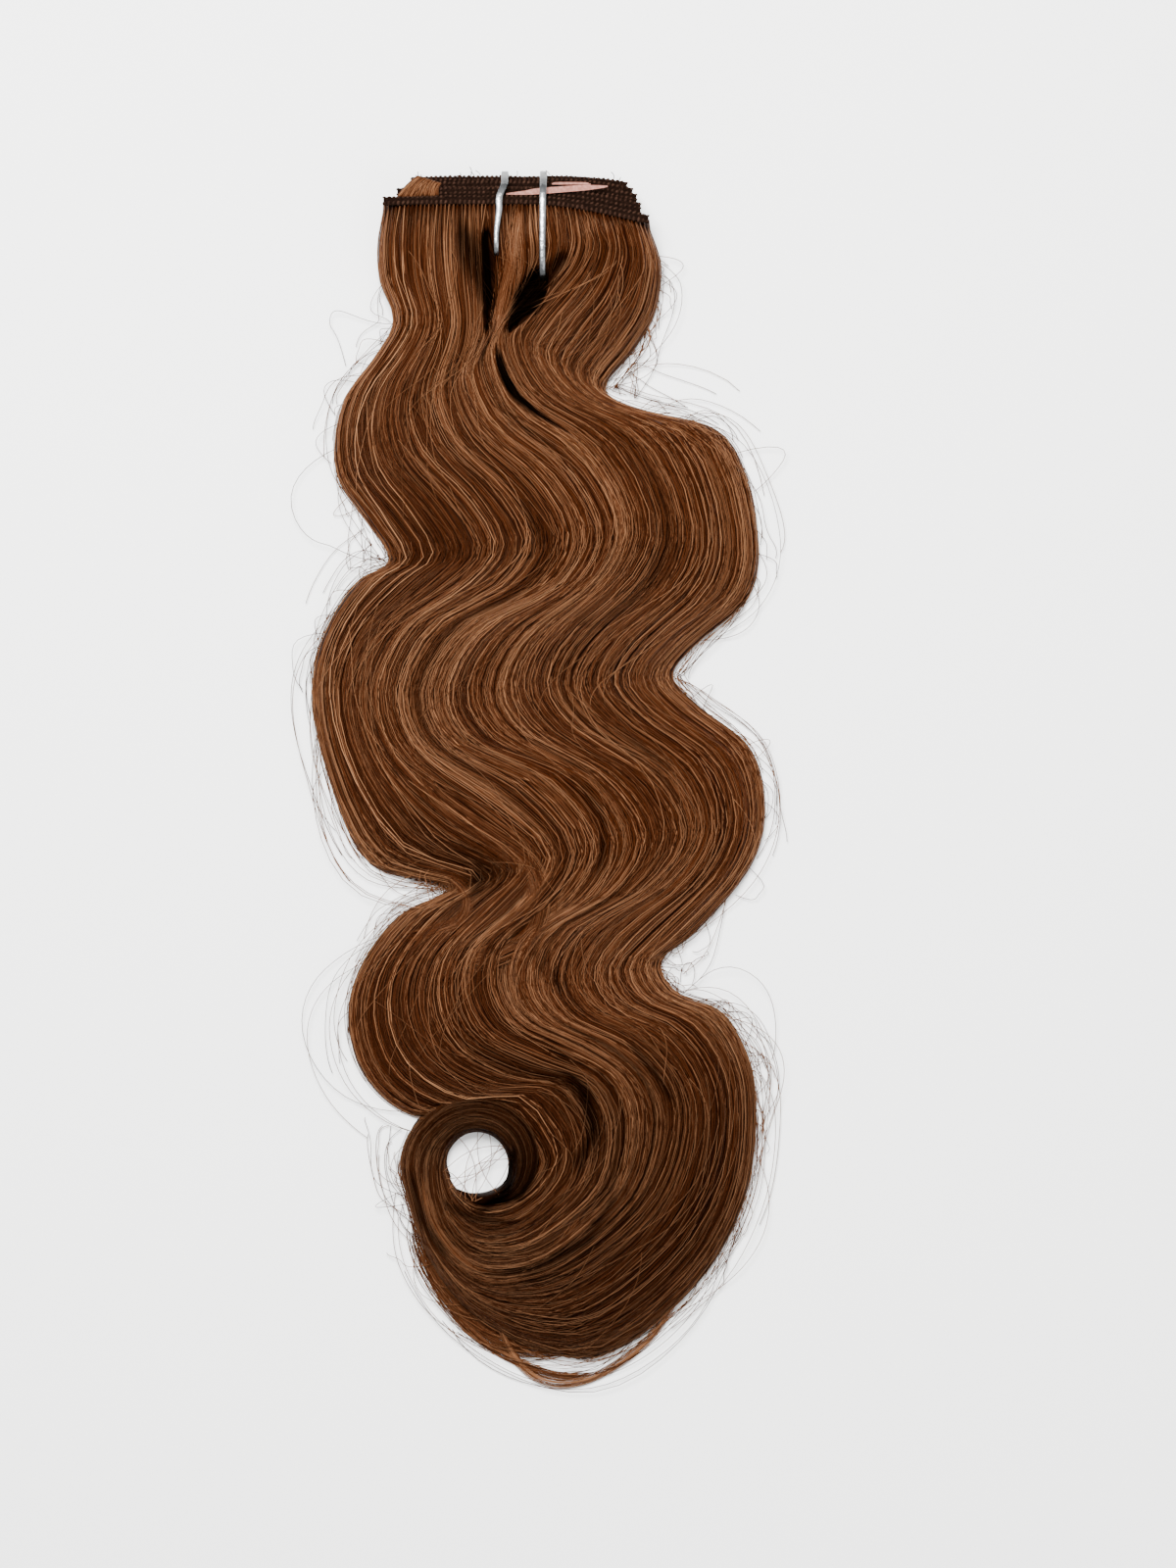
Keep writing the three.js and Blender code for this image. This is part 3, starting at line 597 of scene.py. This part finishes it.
def strand_across(share, lock, row, own):
    """Where a strand runs across the hair: it leaves and joins its lock, and sways with it."""
    waves = lock_waves[lock]
    spread = 0.8 + 0.6 * np.sin(0.8 * row + waves[2]) + 0.3 * np.sin(1.9 * row + waves[3])
    across = lock_centres[lock] + (share - lock_centres[lock]) * spread
    across += sway * (np.sin(0.55 * row + waves[0]) + 0.6 * np.sin(1.15 * row + waves[1]))
    across += sway * (np.sin(0.9 * row + own[0]) + 0.4 * np.sin(2.3 * row + own[1]))
    if chance.uniform() < 0.14:
        across += chance.normal(0, 0.02) * np.sin(0.35 * row + own[1])
    if row[-1] > 26:
        across += smooth((row - 22) / 10) * chance.normal(0, curl_spread)
    tuft = (np.round(across * tuft_count - 0.5) + 0.5) / tuft_count
    across += 0.7 * (tuft - across) * (1 - smooth(row / 0.7))
    return np.clip(across, 0.002, 0.998)


def tuck_in(path):
    """A strand's path with its root led in under the front weft."""
    root = path[:1] + np.array([[0, root_reach, 0]])
    root[0, 2] = min(path[0, 2] - 0.6 * mm, stack_height - 1.2 * weft_pitch)
    return np.concatenate([root, path])


def strand_in_lock():
    """One strand's path, radius, tone and shade."""
    share = chance.uniform()
    lock = int(np.argmin(np.abs(lock_centres - share)))
    broad = int(share * broad_count)
    row = strand_rows(share)
    own = chance.uniform(0, 2 * np.pi, 3)
    across = strand_across(share, lock, row, own)
    depth = chance.uniform(0, 1) ** 1.3
    centred = 1 - np.clip(np.abs(share - lock_centres[lock]) * lock_count, 0, 1) ** 2
    lift = 0.35 * centred + 0.35 * np.sin(0.7 * row + broad_waves[broad, 0])
    lift += 0.15 * np.sin(1.7 * row + own[1])
    flat, parted = part_hair(winding.flat(across, row))
    level = winding.height(across, row) + over_tail(row) + (lift - 1.4 * depth - 1.6 * parted) * mm
    path = np.column_stack([flat, level])
    if row[0] == 0:
        path = tuck_in(path)
        row, across, parted = (np.concatenate([value[:1], value]) for value in (row, across, parted))
    along = np.linspace(0, 1, len(path))
    radius = strand_radius * chance.uniform(0.6, 1.3) * np.clip((1.02 - along) * 9, 0.25, 1)
    # Deeper strands are painted darker, in tone and in shade, as shade under the strands above them
    tone = 0.5 + lock_tones[lock] + broad_tones[broad] + chance.normal(0, 0.18) - 0.2 * depth
    tone = tone + 0.05 * np.sin(0.6 * row + broad_waves[broad, 1])
    # A painted highlight along the edges, laid into the strands' tone
    rim = np.where(row > curl_row, 1 - across, np.minimum(across, 1 - across))
    tone = tone + rim_highlight * np.exp(-rim / rim_highlight_width)
    return path, radius, tone, light_on(row, parted) * fold_light(across, row) * (1 - 0.5 * depth)


strands = [strand_in_lock() for _ in range(strand_count)]
for part in range(pieces_of_hair):
    fibres(f"hair_strands_{part + 1}", strands[part::pieces_of_hair], strand_material)


# Locks that leave the mass: one hooks round the second notch, one crosses into the third wave, two loop
# round the curl over a fringe of ends, one falls from the middle and a thin one hangs loose. Each is a
# bundle of hair laid on what is under it. A short stretch of golden hair folds over the wefts' left end.
hook_lock = [(0.2, 0.575), (0.305, 0.577), (0.345, 0.594), (0.33, 0.612), (0.27, 0.623), (0.19, 0.631)]
cross_lock = [(0.19, 0.45), (0.27, 0.505), (0.39, 0.54), (0.48, 0.567), (0.5, 0.597), (0.48, 0.623),
              (0.41, 0.641), (0.31, 0.654), (0.26, 0.68)]
loop_lock = [(0.4, 0.768), (0.33, 0.772), (0.275, 0.79), (0.245, 0.82), (0.248, 0.855), (0.285, 0.89),
             (0.355, 0.917), (0.437, 0.923), (0.515, 0.905), (0.575, 0.875), (0.6, 0.84)]
loop_end = [(0.243, 0.913), (0.29, 0.944), (0.372, 0.98), (0.469, 1.003), (0.555, 1.013), (0.62, 1.01)]
low_fringe = [(0.22, 0.855), (0.243, 0.9), (0.29, 0.933), (0.35, 0.959), (0.415, 0.98), (0.49, 0.99),
              (0.6, 0.985)]
middle_lock = [(0.46, -0.01), (0.447, 0.03), (0.425, 0.066), (0.41, 0.1), (0.412, 0.125)]
loose_lock = [(84, 0.56), (78, 0.74), (72, 0.83), (63, 0.875), (46, 0.885), (30, 0.86)]
folded_top = [(0.236, -0.034), (0.288, -0.0275)]
folded_foot = [(0.188, -0.014), (0.282, -0.016)]


def ground_under(spots):
    """The height of the mass, or of the floor, below each spot."""
    hits = [ground.ray_cast(Vector((x, y, 1)), Vector((0, 0, -1)))[0] for x, y in spots]
    return np.array([max(hit.z, 0) if hit else 0 for hit in hits])


def evened(heights):
    return np.convolve(np.pad(heights, 2, mode="edge"), np.ones(5) / 5, mode="valid")


def bundle(route, count, width, rise, tone, shade, loose=0.12, steps=26):
    """Strands that keep together along a route, on what lies below them, with staggered ends."""
    made = []
    line = spline(route, np.linspace(0, len(route) - 1, 60))
    ahead = np.gradient(line, axis=0)
    ahead /= np.linalg.norm(ahead, axis=1, keepdims=True)
    across = np.column_stack([-ahead[:, 1], ahead[:, 0]])
    for _ in range(count):
        start, end = chance.uniform(0, loose), chance.uniform(1 - loose, 1)
        along = np.linspace(start, end, steps)
        own = chance.uniform(0, 2 * np.pi, 2)
        side = np.clip(chance.normal(0, 0.3), -0.6, 0.6)
        shape = 0.55 + 0.45 * np.sin(np.pi * along)
        offset = width * (side * shape + 0.08 * np.sin(6 * along + own[0]))
        at = along * 59
        spot = np.column_stack([np.interp(at, np.arange(60), line[:, k]) for k in (0, 1)])
        out = np.column_stack([np.interp(at, np.arange(60), across[:, k]) for k in (0, 1)])
        spot += out * offset[:, None]
        under = evened(ground_under(spot))
        crown = np.clip(1 - (2 * side) ** 2, 0, 1)
        level = under + mass_sink + rise * (0.25 + 0.75 * crown * np.sin(np.pi * along)) - 0.6 * mm
        level = np.maximum(level, 0.4 * mm)
        radius = strand_radius * np.clip(np.sin(np.pi * np.linspace(0.04, 0.97, steps)) * 3, 0.3, 1)
        made.append((np.column_stack([spot, level]), radius, tone + chance.normal(0, 0.14), shade))
    return made


def folded_hair(count, level):
    """The short stretch of golden hair where a rear weft folds over at its left end."""
    top, foot = (np.array([place(*point) for point in edge]) for edge in (folded_top, folded_foot))
    made = []
    for _ in range(count):
        near, far = np.clip(chance.uniform(0, 1) + chance.normal(0, 0.05, 2), 0, 1)
        along = np.linspace(0, 1, 8)[:, None]
        start, end = top[0] * (1 - near) + top[1] * near, foot[0] * (1 - far) + foot[1] * far
        bend = 0.5 * mm * np.sin(np.pi * along) * np.array([[-1, 1]])
        height = level + chance.uniform(-0.25, 0.25) * mm + 0.4 * mm * np.sin(np.pi * along[:, 0])
        path = np.column_stack([start * (1 - along) + end * along + bend, height])
        made.append((path, np.full(8, strand_radius), 0.55 + chance.normal(0, 0.18), 0.95))
    return made


def placed(route):
    return [place(*point) for point in route]


loose_route = [round_eye(turn, reach * curl_reach) for turn, reach in loose_lock]
lock_strands = bundle(placed(hook_lock), 50, 7 * mm, 1.4 * mm, 0.45, 0.85)
lock_strands += bundle(placed(cross_lock), 60, 11 * mm, 1.2 * mm, 0.45, 0.8)
lock_strands += bundle(placed(loop_lock), 75, 7 * mm, 1.2 * mm, 0.52, 0.75, 0.45)
lock_strands += bundle(placed(low_fringe), 170, 9 * mm, 0.8 * mm, 0.5, 0.62, 0.5)
lock_strands += bundle(placed(loop_end), 24, 2.6 * mm, 0.8 * mm, 0.6, 0.8)
lock_strands += folded_hair(190, 17.3 * mm)
lock_strands += bundle(placed(middle_lock), 90, 6 * mm, 1.6 * mm, 0.55, 0.95)
lock_strands += bundle(loose_route, 24, 3.2 * mm, 1.2 * mm, 0.68, 1)
fibres("hair_locks", lock_strands, strand_material)


# Flyaway hairs are single hairs that have worked loose. They stand off the edges in open arcs, short
# ones cross the mass, and a few cross the open eye of the curl.
flyaway_count = 330
crossing_count = 480
eye_hair_count = 14
flyaway_radius = 0.15 * mm
crossing_radius = 0.09 * mm
reach_limit = 11 * mm
flyaway_material = hair_material("hair_flyaways", 0.5)


def flyaway():
    """A hair that leaves one of the edges, kept within reach_limit of the solids."""
    start = chance.uniform(1.5, 29)
    edge = 0.004 if start < 18 and chance.uniform() < 0.55 else 0.996
    short = chance.uniform() < 0.6
    span = chance.uniform(0.25, 1) if short else chance.uniform(1, 4)
    steps = 12 if short else 24
    row = np.linspace(start, min(start + span, overlap_row), steps)
    along = np.linspace(0, 1, steps)
    flat = body.flat(np.full(steps, edge), row)
    ahead = np.gradient(flat, axis=0)
    ahead /= np.maximum(np.linalg.norm(ahead, axis=1, keepdims=True), 1e-9)
    outward = np.column_stack([ahead[:, 1], -ahead[:, 0]]) * (1 if edge < 0.5 else -1)
    bow = np.sin(np.pi * along * chance.uniform(0.5, 1.05)) + 0.15 * np.sin(chance.uniform(5, 9) * along)
    swing = min(abs(chance.normal(0, 5 if short else 9)), 22) * mm
    low, high = np.array(cad_box[0][:2]) - reach_limit, np.array(cad_box[1][:2]) + reach_limit
    for _ in range(8):
        spot = flat + outward * (swing * bow)[:, None]
        if (spot < low).any() or (spot > high).any():
            swing *= 0.7
    rise = 2 * mm + 5 * mm * chance.uniform() * np.sin(np.pi * along)
    level = evened(np.maximum(rise * (1 - 0.5 * along), ground_under(spot) + 1.2 * mm))
    return np.column_stack([spot, level]), np.full(steps, flyaway_radius), chance.uniform(0.4, 0.8), 0.9


def crossing_hair():
    """A light hair that lies slanting over the mass."""
    start = chance.uniform(1, 31)
    row = np.linspace(start, start + chance.uniform(1, 4), 12)
    drift = np.linspace(0, chance.normal(0, 0.09), 12) + 0.01 * np.sin(np.linspace(0, 5, 12))
    across = np.clip(chance.uniform(0.04, 0.96) + drift, 0.02, 0.98)
    flat = winding.flat(across, row)
    level = winding.height(across, row) + over_tail(row) + chance.uniform(0.4, 1.2) * mm
    _, parted = part_hair(flat)
    path = np.column_stack([flat, level])
    return path, np.full(12, crossing_radius), chance.uniform(0.5, 0.9), light_on(row, parted)


def eye_hair():
    turn = chance.uniform(0, 2 * np.pi)
    far = turn + np.pi + chance.normal(0, 0.9)
    along = np.linspace(0, 1, 10)[:, None]
    start, end = (np.array([math.cos(a), math.sin(a)]) * (eye_radius + 3 * mm) for a in (turn, far))
    bend = 4 * mm * np.sin(np.pi * along) * np.array([[math.sin(turn), -math.cos(turn)]])
    spot = place(*eye_centre) + start * (1 - along) + end * along + bend
    level = 3 * mm + 4 * mm * (2 * along[:, 0] - 1) ** 2
    return np.column_stack([spot, level]), np.full(10, flyaway_radius), 0.7, 1


stray = [flyaway() for _ in range(flyaway_count)] + [crossing_hair() for _ in range(crossing_count)]
stray += [eye_hair() for _ in range(eye_hair_count)]
fibres("hair_flyaways", stray, flyaway_material)


# Wefts: the hair's upper ends machine sewn into narrow bands. Each is a row of tight thread stitches,
# folded and stacked so that each edge stands a little past the one in front.
weft_height = 3.7 * mm
shingle_rise = 4.5 * mm
stitch_pitch = 1.75 * mm
wefts = [
    # name, left and right share of the front line, ledge
    ("weft_front", 0, 1, 0),
    ("weft_2", 0.05, 0.97, 0.72),
    ("weft_3", 0.1, 0.955, 1.12),
    ("weft_4", 0.12, 0.94, 1.26),
    ("weft_5", 0.1, 0.92, 1.38),
]
weft_thickness = weft_pitch - 0.3 * mm
root_line = [np.array(place(*point)) for point in wave_rows[0][:4]]


def root_at(share):
    """Where the line of the wefts lies at a share of its length."""
    return spline(root_line, np.atleast_1d(share) * 3)


def slope(height):
    """How far a weft at a height stands behind the front one."""
    return (stack_height - height) / (stack_height - hair_under) * shingle_rise


def thread_material(name, colour, speck, roughness):
    """A dull woven look of two colours, darker where the piece is painted so."""
    material = bpy.data.materials.new(name)
    material.use_nodes = True
    nodes, links = material.node_tree.nodes, material.node_tree.links
    shader = nodes["Principled BSDF"]
    shader.inputs["Roughness"].default_value = roughness
    shader.inputs["Specular IOR Level"].default_value = 0
    where = nodes.new("ShaderNodeTexCoord")
    noise = nodes.new("ShaderNodeTexNoise")
    noise.inputs["Scale"].default_value = 1100
    noise.inputs["Detail"].default_value = 4
    links.new(where.outputs["Object"], noise.inputs["Vector"])
    ramp = nodes.new("ShaderNodeValToRGB")
    ramp.color_ramp.elements[0].position = 0.42
    ramp.color_ramp.elements[0].color = (*colour, 1)
    ramp.color_ramp.elements[1].position = 0.72
    ramp.color_ramp.elements[1].color = (*speck, 1)
    links.new(noise.outputs["Fac"], ramp.inputs["Fac"])
    shaded(nodes, links, ramp.outputs["Color"])
    bump = nodes.new("ShaderNodeBump")
    bump.inputs["Strength"].default_value = 0.3
    bump.inputs["Distance"].default_value = 0.2 * mm
    links.new(noise.outputs["Fac"], bump.inputs["Height"])
    links.new(bump.outputs["Normal"], shader.inputs["Normal"])
    return material


weft_material = thread_material("weft_thread", (0.02, 0.0098, 0.0066), (0.042, 0.02, 0.013), 0.8)


def bead(sides, rings):
    """The corners and faces of a round bead, from which the stitches are made."""
    shape = bmesh.new()
    bmesh.ops.create_uvsphere(shape, u_segments=sides, v_segments=rings, radius=1)
    places = np.array([v.co for v in shape.verts])
    faces = [[v.index for v in face.verts] for face in shape.faces]
    shape.free()
    return places, faces


def joined(name, copies, faces):
    places, all_faces, count = [], [], 0
    for copy in copies:
        places += copy.tolist()
        all_faces += [[i + count for i in face] for face in faces]
        count += len(copy)
    mesh = bpy.data.meshes.new(name)
    mesh.from_pydata(places, [], all_faces)
    mesh.shade_smooth()
    return mesh


stitch, stitch_faces = bead(8, 5)
row_height = 1.45 * mm
row_pitch = 1.25 * row_height
rear_rows = 3
core_steps = 40


def corner_lift(share, order):
    """The rear wefts run straighter than the front one, so their right ends stand higher."""
    return 0.85 * mm * order * smooth((share - 0.5) / 0.45)


def slab(left, right, low, high, top, thickness, order):
    """The corners of a flat band between two heights over the front line."""
    shares = np.linspace(left, right, core_steps)
    line = root_at(shares)
    raised = line[:, 1] + corner_lift(shares, order)
    loops = []
    for y, z in ((low, top), (high, top), (high, top - thickness), (low, top - thickness)):
        edge = raised if y == high else line[:, 1]
        loops.append(np.column_stack([line[:, 0], edge + y, np.full(core_steps, z)]))
    return np.stack(loops, axis=1).reshape(-1, 3)


def slab_faces(steps):
    """Faces of a band with four corners at each step, closed at both ends."""
    faces = [[4 * n + k, 4 * n + 4 + k, 4 * n + 4 + (k + 1) % 4, 4 * n + (k + 1) % 4]
             for n in range(steps - 1) for k in range(4)]
    return faces + [[0, 1, 2, 3], [4 * steps - 1, 4 * steps - 2, 4 * steps - 3, 4 * steps - 4]]


def beads(left, right, low, high, top, thickness, wave, order):
    """A row of stitches between two heights over the front line."""
    length = np.linalg.norm(root_at(right) - root_at(left))
    count = int(length / stitch_pitch)
    own = chance.uniform(0, 6, 2)
    made = []
    for n in range(count):
        share = left + (right - left) * (n + 0.5) / count
        at = root_at(share)[0]
        ends = 1 - 0.35 * max(0, 1 - min(n, count - 1 - n) / 2)
        tall = (high - low) / 2 * chance.uniform(0.9, 1.12) * ends
        edge = wave * (math.sin(9 * share + own[0]) + 0.6 * math.sin(31 * share + own[1]))
        size = np.array([0.42 * stitch_pitch, 1.05 * tall, thickness / 2 * chance.uniform(0.75, 1)])
        lean = stitch[:, 1:2] * np.array([[chance.uniform(0.05, 0.3) * mm, 0, 0]])
        lift = edge + corner_lift(share, order) + chance.normal(0, 0.07) * mm
        spot = (at[0], at[1] + (low + high) / 2 + lift, top - thickness / 2)
        made.append(stitch * size + lean + spot)
    return made


def weft_mesh(name, copies, core):
    """One mesh of the stitches and the core they are sewn round, painted dark as shade between them."""
    mesh = joined(name, copies, stitch_faces)
    shape = bmesh.new()
    shape.from_mesh(mesh)
    corners = [shape.verts.new(corner) for corner in core]
    for face in slab_faces(core_steps):
        shape.faces.new([corners[i] for i in face])
    bmesh.ops.recalc_face_normals(shape, faces=shape.faces)
    shape.to_mesh(mesh)
    shape.free()
    # Each stitch is lighter or darker at random; the core gets painted shade, dark between the stitches
    bright = np.repeat(chance.uniform(0.45, 0.9, len(copies)), len(stitch))
    paint(mesh, 0.5, np.concatenate([bright, np.full(len(core), 0.2)]))
    return mesh


for order, (name, left, right, ledge) in enumerate(wefts):
    top = stack_height - order * weft_pitch
    low = weft_gap + slope(top)
    high = low + weft_height * (1 + ledge)
    core = slab(left + 0.006, right - 0.006, low + 0.3 * mm, high - 0.4 * mm, top - 0.8 * mm,
                weft_thickness - 1.2 * mm, order)
    if order == 0:
        middle = low + 0.6 * (high - low)
        copies = beads(left, right, low, middle, top, weft_thickness, 0.06 * mm, order)
        copies += beads(left, right, high - 1.1 * mm, high, top - 0.2 * mm, 0.8 * weft_thickness,
                        0.08 * mm, order)
    else:
        copies = []
        for n in range(rear_rows):
            edge = high - n * row_pitch
            copies += beads(left, right, edge - row_height, edge, top, weft_thickness, 0.14 * mm, order)
    band = add_piece(f"{name}_stitched", weft_mesh(name, copies, core), weft_material)
    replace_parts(band, name)


# Loose thread ends stand in clumps along the top edges of the rear wefts
fray_clumps = [
    # share of the front line, spread of the clump and threads in it
    (0.06, 0.04, 6),
    (0.3, 0.05, 12),
    (0.55, 0.2, 8),
    (0.87, 0.02, 8),
]


def fray(clump, spread):
    """A loose thread end that stands off the top edge of one of the rear wefts."""
    order = chance.integers(2, 5)
    _, left, right, ledge = wefts[order]
    share = np.clip(clump + chance.normal(0, spread / 2), left + 0.02, right - 0.02)
    top = stack_height - order * weft_pitch
    high = weft_gap + slope(top) + weft_height * (1 + ledge) + corner_lift(share, order)
    lean, length = chance.normal(0, 0.9), chance.uniform(1.5, 4) * mm
    along = np.linspace(0, 1, 6)[:, None]
    ahead = np.array([[math.sin(lean), math.cos(lean), chance.uniform(-0.2, 0.5)]])
    bend = 0.25 * length * np.sin(np.pi * along) * np.array([[math.cos(lean), -math.sin(lean), 0]])
    start = np.array([*(root_at(share)[0] + (0, high - 0.8 * mm)), top - weft_thickness / 2])
    return start + length * along * ahead + bend, np.full(6, 0.16 * mm), 0.5, 0.6


frays = [fray(clump, spread) for clump, spread, threads in fray_clumps for _ in range(threads)]
fibres("weft_frays", frays, weft_material)


# Two pale pink strips of backing tape show between the folded wefts. Each is a flat strip, widest in
# the middle, that narrows where the wefts close over it.
tape_material = thread_material("pink_tape", (0.2, 0.085, 0.066), (0.3, 0.145, 0.115), 0.7)
tapes = [
    # name, height in mm, then (across, down, width in mm) along it
    ("tape_wide", 17.3, [(0.43, -0.018, 0.5), (0.47, -0.019, 1.5), (0.52, -0.021, 2.3), (0.58, -0.0228, 2.2),
                         (0.62, -0.0238, 1.6), (0.652, -0.0246, 0.5)]),
    ("tape_narrow", 13.9, [(0.53, -0.0275, 0.4), (0.555, -0.028, 0.9), (0.585, -0.028, 0.9),
                           (0.615, -0.0272, 0.4)]),
]
tape_thickness = 0.35 * mm
tape_steps = 24
for name, level, route in tapes:
    edges = []
    for across, down, width in spline(route, np.linspace(0, len(route) - 1, tape_steps)):
        x, y = place(across, down)
        for side, rise in ((-1, 0), (1, 0), (1, 1), (-1, 1)):
            edges.append((x, y + side * width * mm / 2, level * mm + rise * tape_thickness))
    tape_mesh = bpy.data.meshes.new(f"{name}_strip")
    tape_mesh.from_pydata(edges, [], slab_faces(tape_steps))
    sheet = bmesh.new()
    sheet.from_mesh(tape_mesh)
    bmesh.ops.recalc_face_normals(sheet, faces=sheet.faces)
    sheet.to_mesh(tape_mesh)
    sheet.free()
    paint(tape_mesh, 0.5, 1)
    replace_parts(add_piece(f"{name}_strip", tape_mesh, tape_material), name)


# Two flat foil ties bind the stack: crimped strips of silver plastic round a wire core, bent by hand.
# They narrow towards the foot, and are painted in shade: darker towards the foot, and dark on the
# tops where they turn away from the light.
foil = bpy.data.materials.new("silver_foil")
foil.use_nodes = True
foil_nodes, foil_links = foil.node_tree.nodes, foil.node_tree.links
foil_shader = foil_nodes["Principled BSDF"]
foil_colour = foil_nodes.new("ShaderNodeRGB")
foil_colour.outputs["Color"].default_value = (0.33, 0.34, 0.35, 1)
shaded(foil_nodes, foil_links, foil_colour.outputs["Color"])
foil_shader.inputs["Metallic"].default_value = 1
foil_shader.inputs["Roughness"].default_value = 0.3
foil_where = foil_nodes.new("ShaderNodeTexCoord")
foil_noise = foil_nodes.new("ShaderNodeTexNoise")
foil_noise.inputs["Scale"].default_value = 700
foil_links.new(foil_where.outputs["Object"], foil_noise.inputs["Vector"])
foil_bump = foil_nodes.new("ShaderNodeBump")
foil_bump.inputs["Strength"].default_value = 0.6
foil_bump.inputs["Distance"].default_value = 0.3 * mm
foil_links.new(foil_noise.outputs["Fac"], foil_bump.inputs["Height"])
foil_links.new(foil_bump.outputs["Normal"], foil_shader.inputs["Normal"])
tie_bevel = 0.3 * mm
# Height up the tie, and its painted shade
tie_shade = ([0.19, 0.205, 0.216, 0.221, 0.2255, 0.229], [0.4, 0.75, 1, 0.4, 0.12, 0.06])


def taper_tie(name, widths):
    """The tie from CAD with rounded edges, narrower towards its foot."""
    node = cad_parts[name]
    shape = bmesh.new()
    shape.from_mesh(node.data)
    bmesh.ops.remove_doubles(shape, verts=shape.verts, dist=0.005 * mm)
    sharp = [edge for edge in shape.edges if len(edge.link_faces) == 2 and edge.calc_face_angle() > 0.9]
    bmesh.ops.bevel(shape, geom=sharp, offset=tie_bevel, segments=3, affect="EDGES", profile=0.5,
                    material=-1)
    places = np.array([vertex.co for vertex in shape.verts])
    for vertex, (x, y, _) in zip(shape.verts, places):
        near = places[np.abs(places[:, 1] - y) < 2 * mm, 0]
        centre = (near.min() + near.max()) / 2
        vertex.co.x = centre + (x - centre) * np.interp(y, *widths)
    mesh = bpy.data.meshes.new(f"{name}_foil")
    bmesh.ops.recalc_face_normals(shape, faces=shape.faces)
    shape.to_mesh(mesh)
    shape.free()
    mesh.shade_smooth()
    heights = np.array([vertex.co.y for vertex in mesh.vertices])
    paint(mesh, 0.5, np.interp(heights, *tie_shade))
    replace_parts(add_piece(f"{name}_foil", mesh, foil), name)


taper_tie("tie_left", ([0.2, 0.206, 0.211, 0.217, 0.229], [0.66, 0.74, 0.85, 0.98, 0.98]))
taper_tie("tie_right", ([0.19, 0.2, 0.206, 0.213, 0.229], [0.8, 0.85, 0.88, 0.92, 1]))


# Two pressure clips of dark painted steel are sewn on under the stack, left and right of the ties. The
# stack hides them from above, so they stay the plain pieces from CAD.
steel = bpy.data.materials.new("clip_steel")
steel.use_nodes = True
steel_shader = steel.node_tree.nodes["Principled BSDF"]
steel_shader.inputs["Base Color"].default_value = (0.012, 0.006, 0.004, 1)
steel_shader.inputs["Specular IOR Level"].default_value = 0.2
steel_shader.inputs["Roughness"].default_value = 0.5
for name in ("clip_left", "clip_right"):
    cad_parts[name].data.materials.clear()
    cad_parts[name].data.materials.append(steel)


# Plain pale floor, soft light from above and a camera that looks straight down
floor_mesh = bpy.data.meshes.new("floor")
sheet = bmesh.new()
bmesh.ops.create_grid(sheet, x_segments=1, y_segments=1, size=3)
sheet.to_mesh(floor_mesh)
sheet.free()
floor = bpy.data.objects.new("floor", floor_mesh)
bpy.context.scene.collection.objects.link(floor)
paper = bpy.data.materials.new("pale_floor")
paper.use_nodes = True
paper.node_tree.nodes["Principled BSDF"].inputs["Base Color"].default_value = (0.87, 0.87, 0.862, 1)
paper.node_tree.nodes["Principled BSDF"].inputs["Roughness"].default_value = 0.8
floor_mesh.materials.append(paper)

world = bpy.data.worlds.new("soft_room")
world.use_nodes = True
world.node_tree.nodes["Background"].inputs["Color"].default_value = (1, 1, 1, 1)
world.node_tree.nodes["Background"].inputs["Strength"].default_value = 0.95
bpy.context.scene.world = world


def soft_box(name, spot, size, power):
    light = bpy.data.lights.new(name, "AREA")
    light.shape = "SQUARE"
    light.size = size
    light.energy = power
    box = bpy.data.objects.new(name, light)
    bpy.context.scene.collection.objects.link(box)
    box.location = spot
    box.rotation_euler = (Vector((0, 0, 0)) - Vector(spot)).to_track_quat("-Z", "Y").to_euler()


soft_box("window", (-0.25, 0.65, 1.4), 0.7, 108)
soft_box("fill", (0.8, -0.5, 1.3), 1.0, 13)

photo_scale = 0.368 * mm
photo_size = (1200, 1600)
photo_left, photo_top = 317, 221
lens_height = 2.2
view_centre = (left_edge + (photo_size[0] / 2 - photo_left) * photo_scale,
               root_level + (photo_top - photo_size[1] / 2) * photo_scale)
camera = bpy.data.objects.new("camera", bpy.data.cameras.new("camera"))
bpy.context.scene.collection.objects.link(camera)
camera.location = (*view_centre, lens_height)
camera.data.sensor_fit = "VERTICAL"
camera.data.sensor_height = 36
camera.data.lens = 36 * (lens_height - stack_height / 2) / (photo_size[1] * photo_scale)
bpy.context.scene.camera = camera
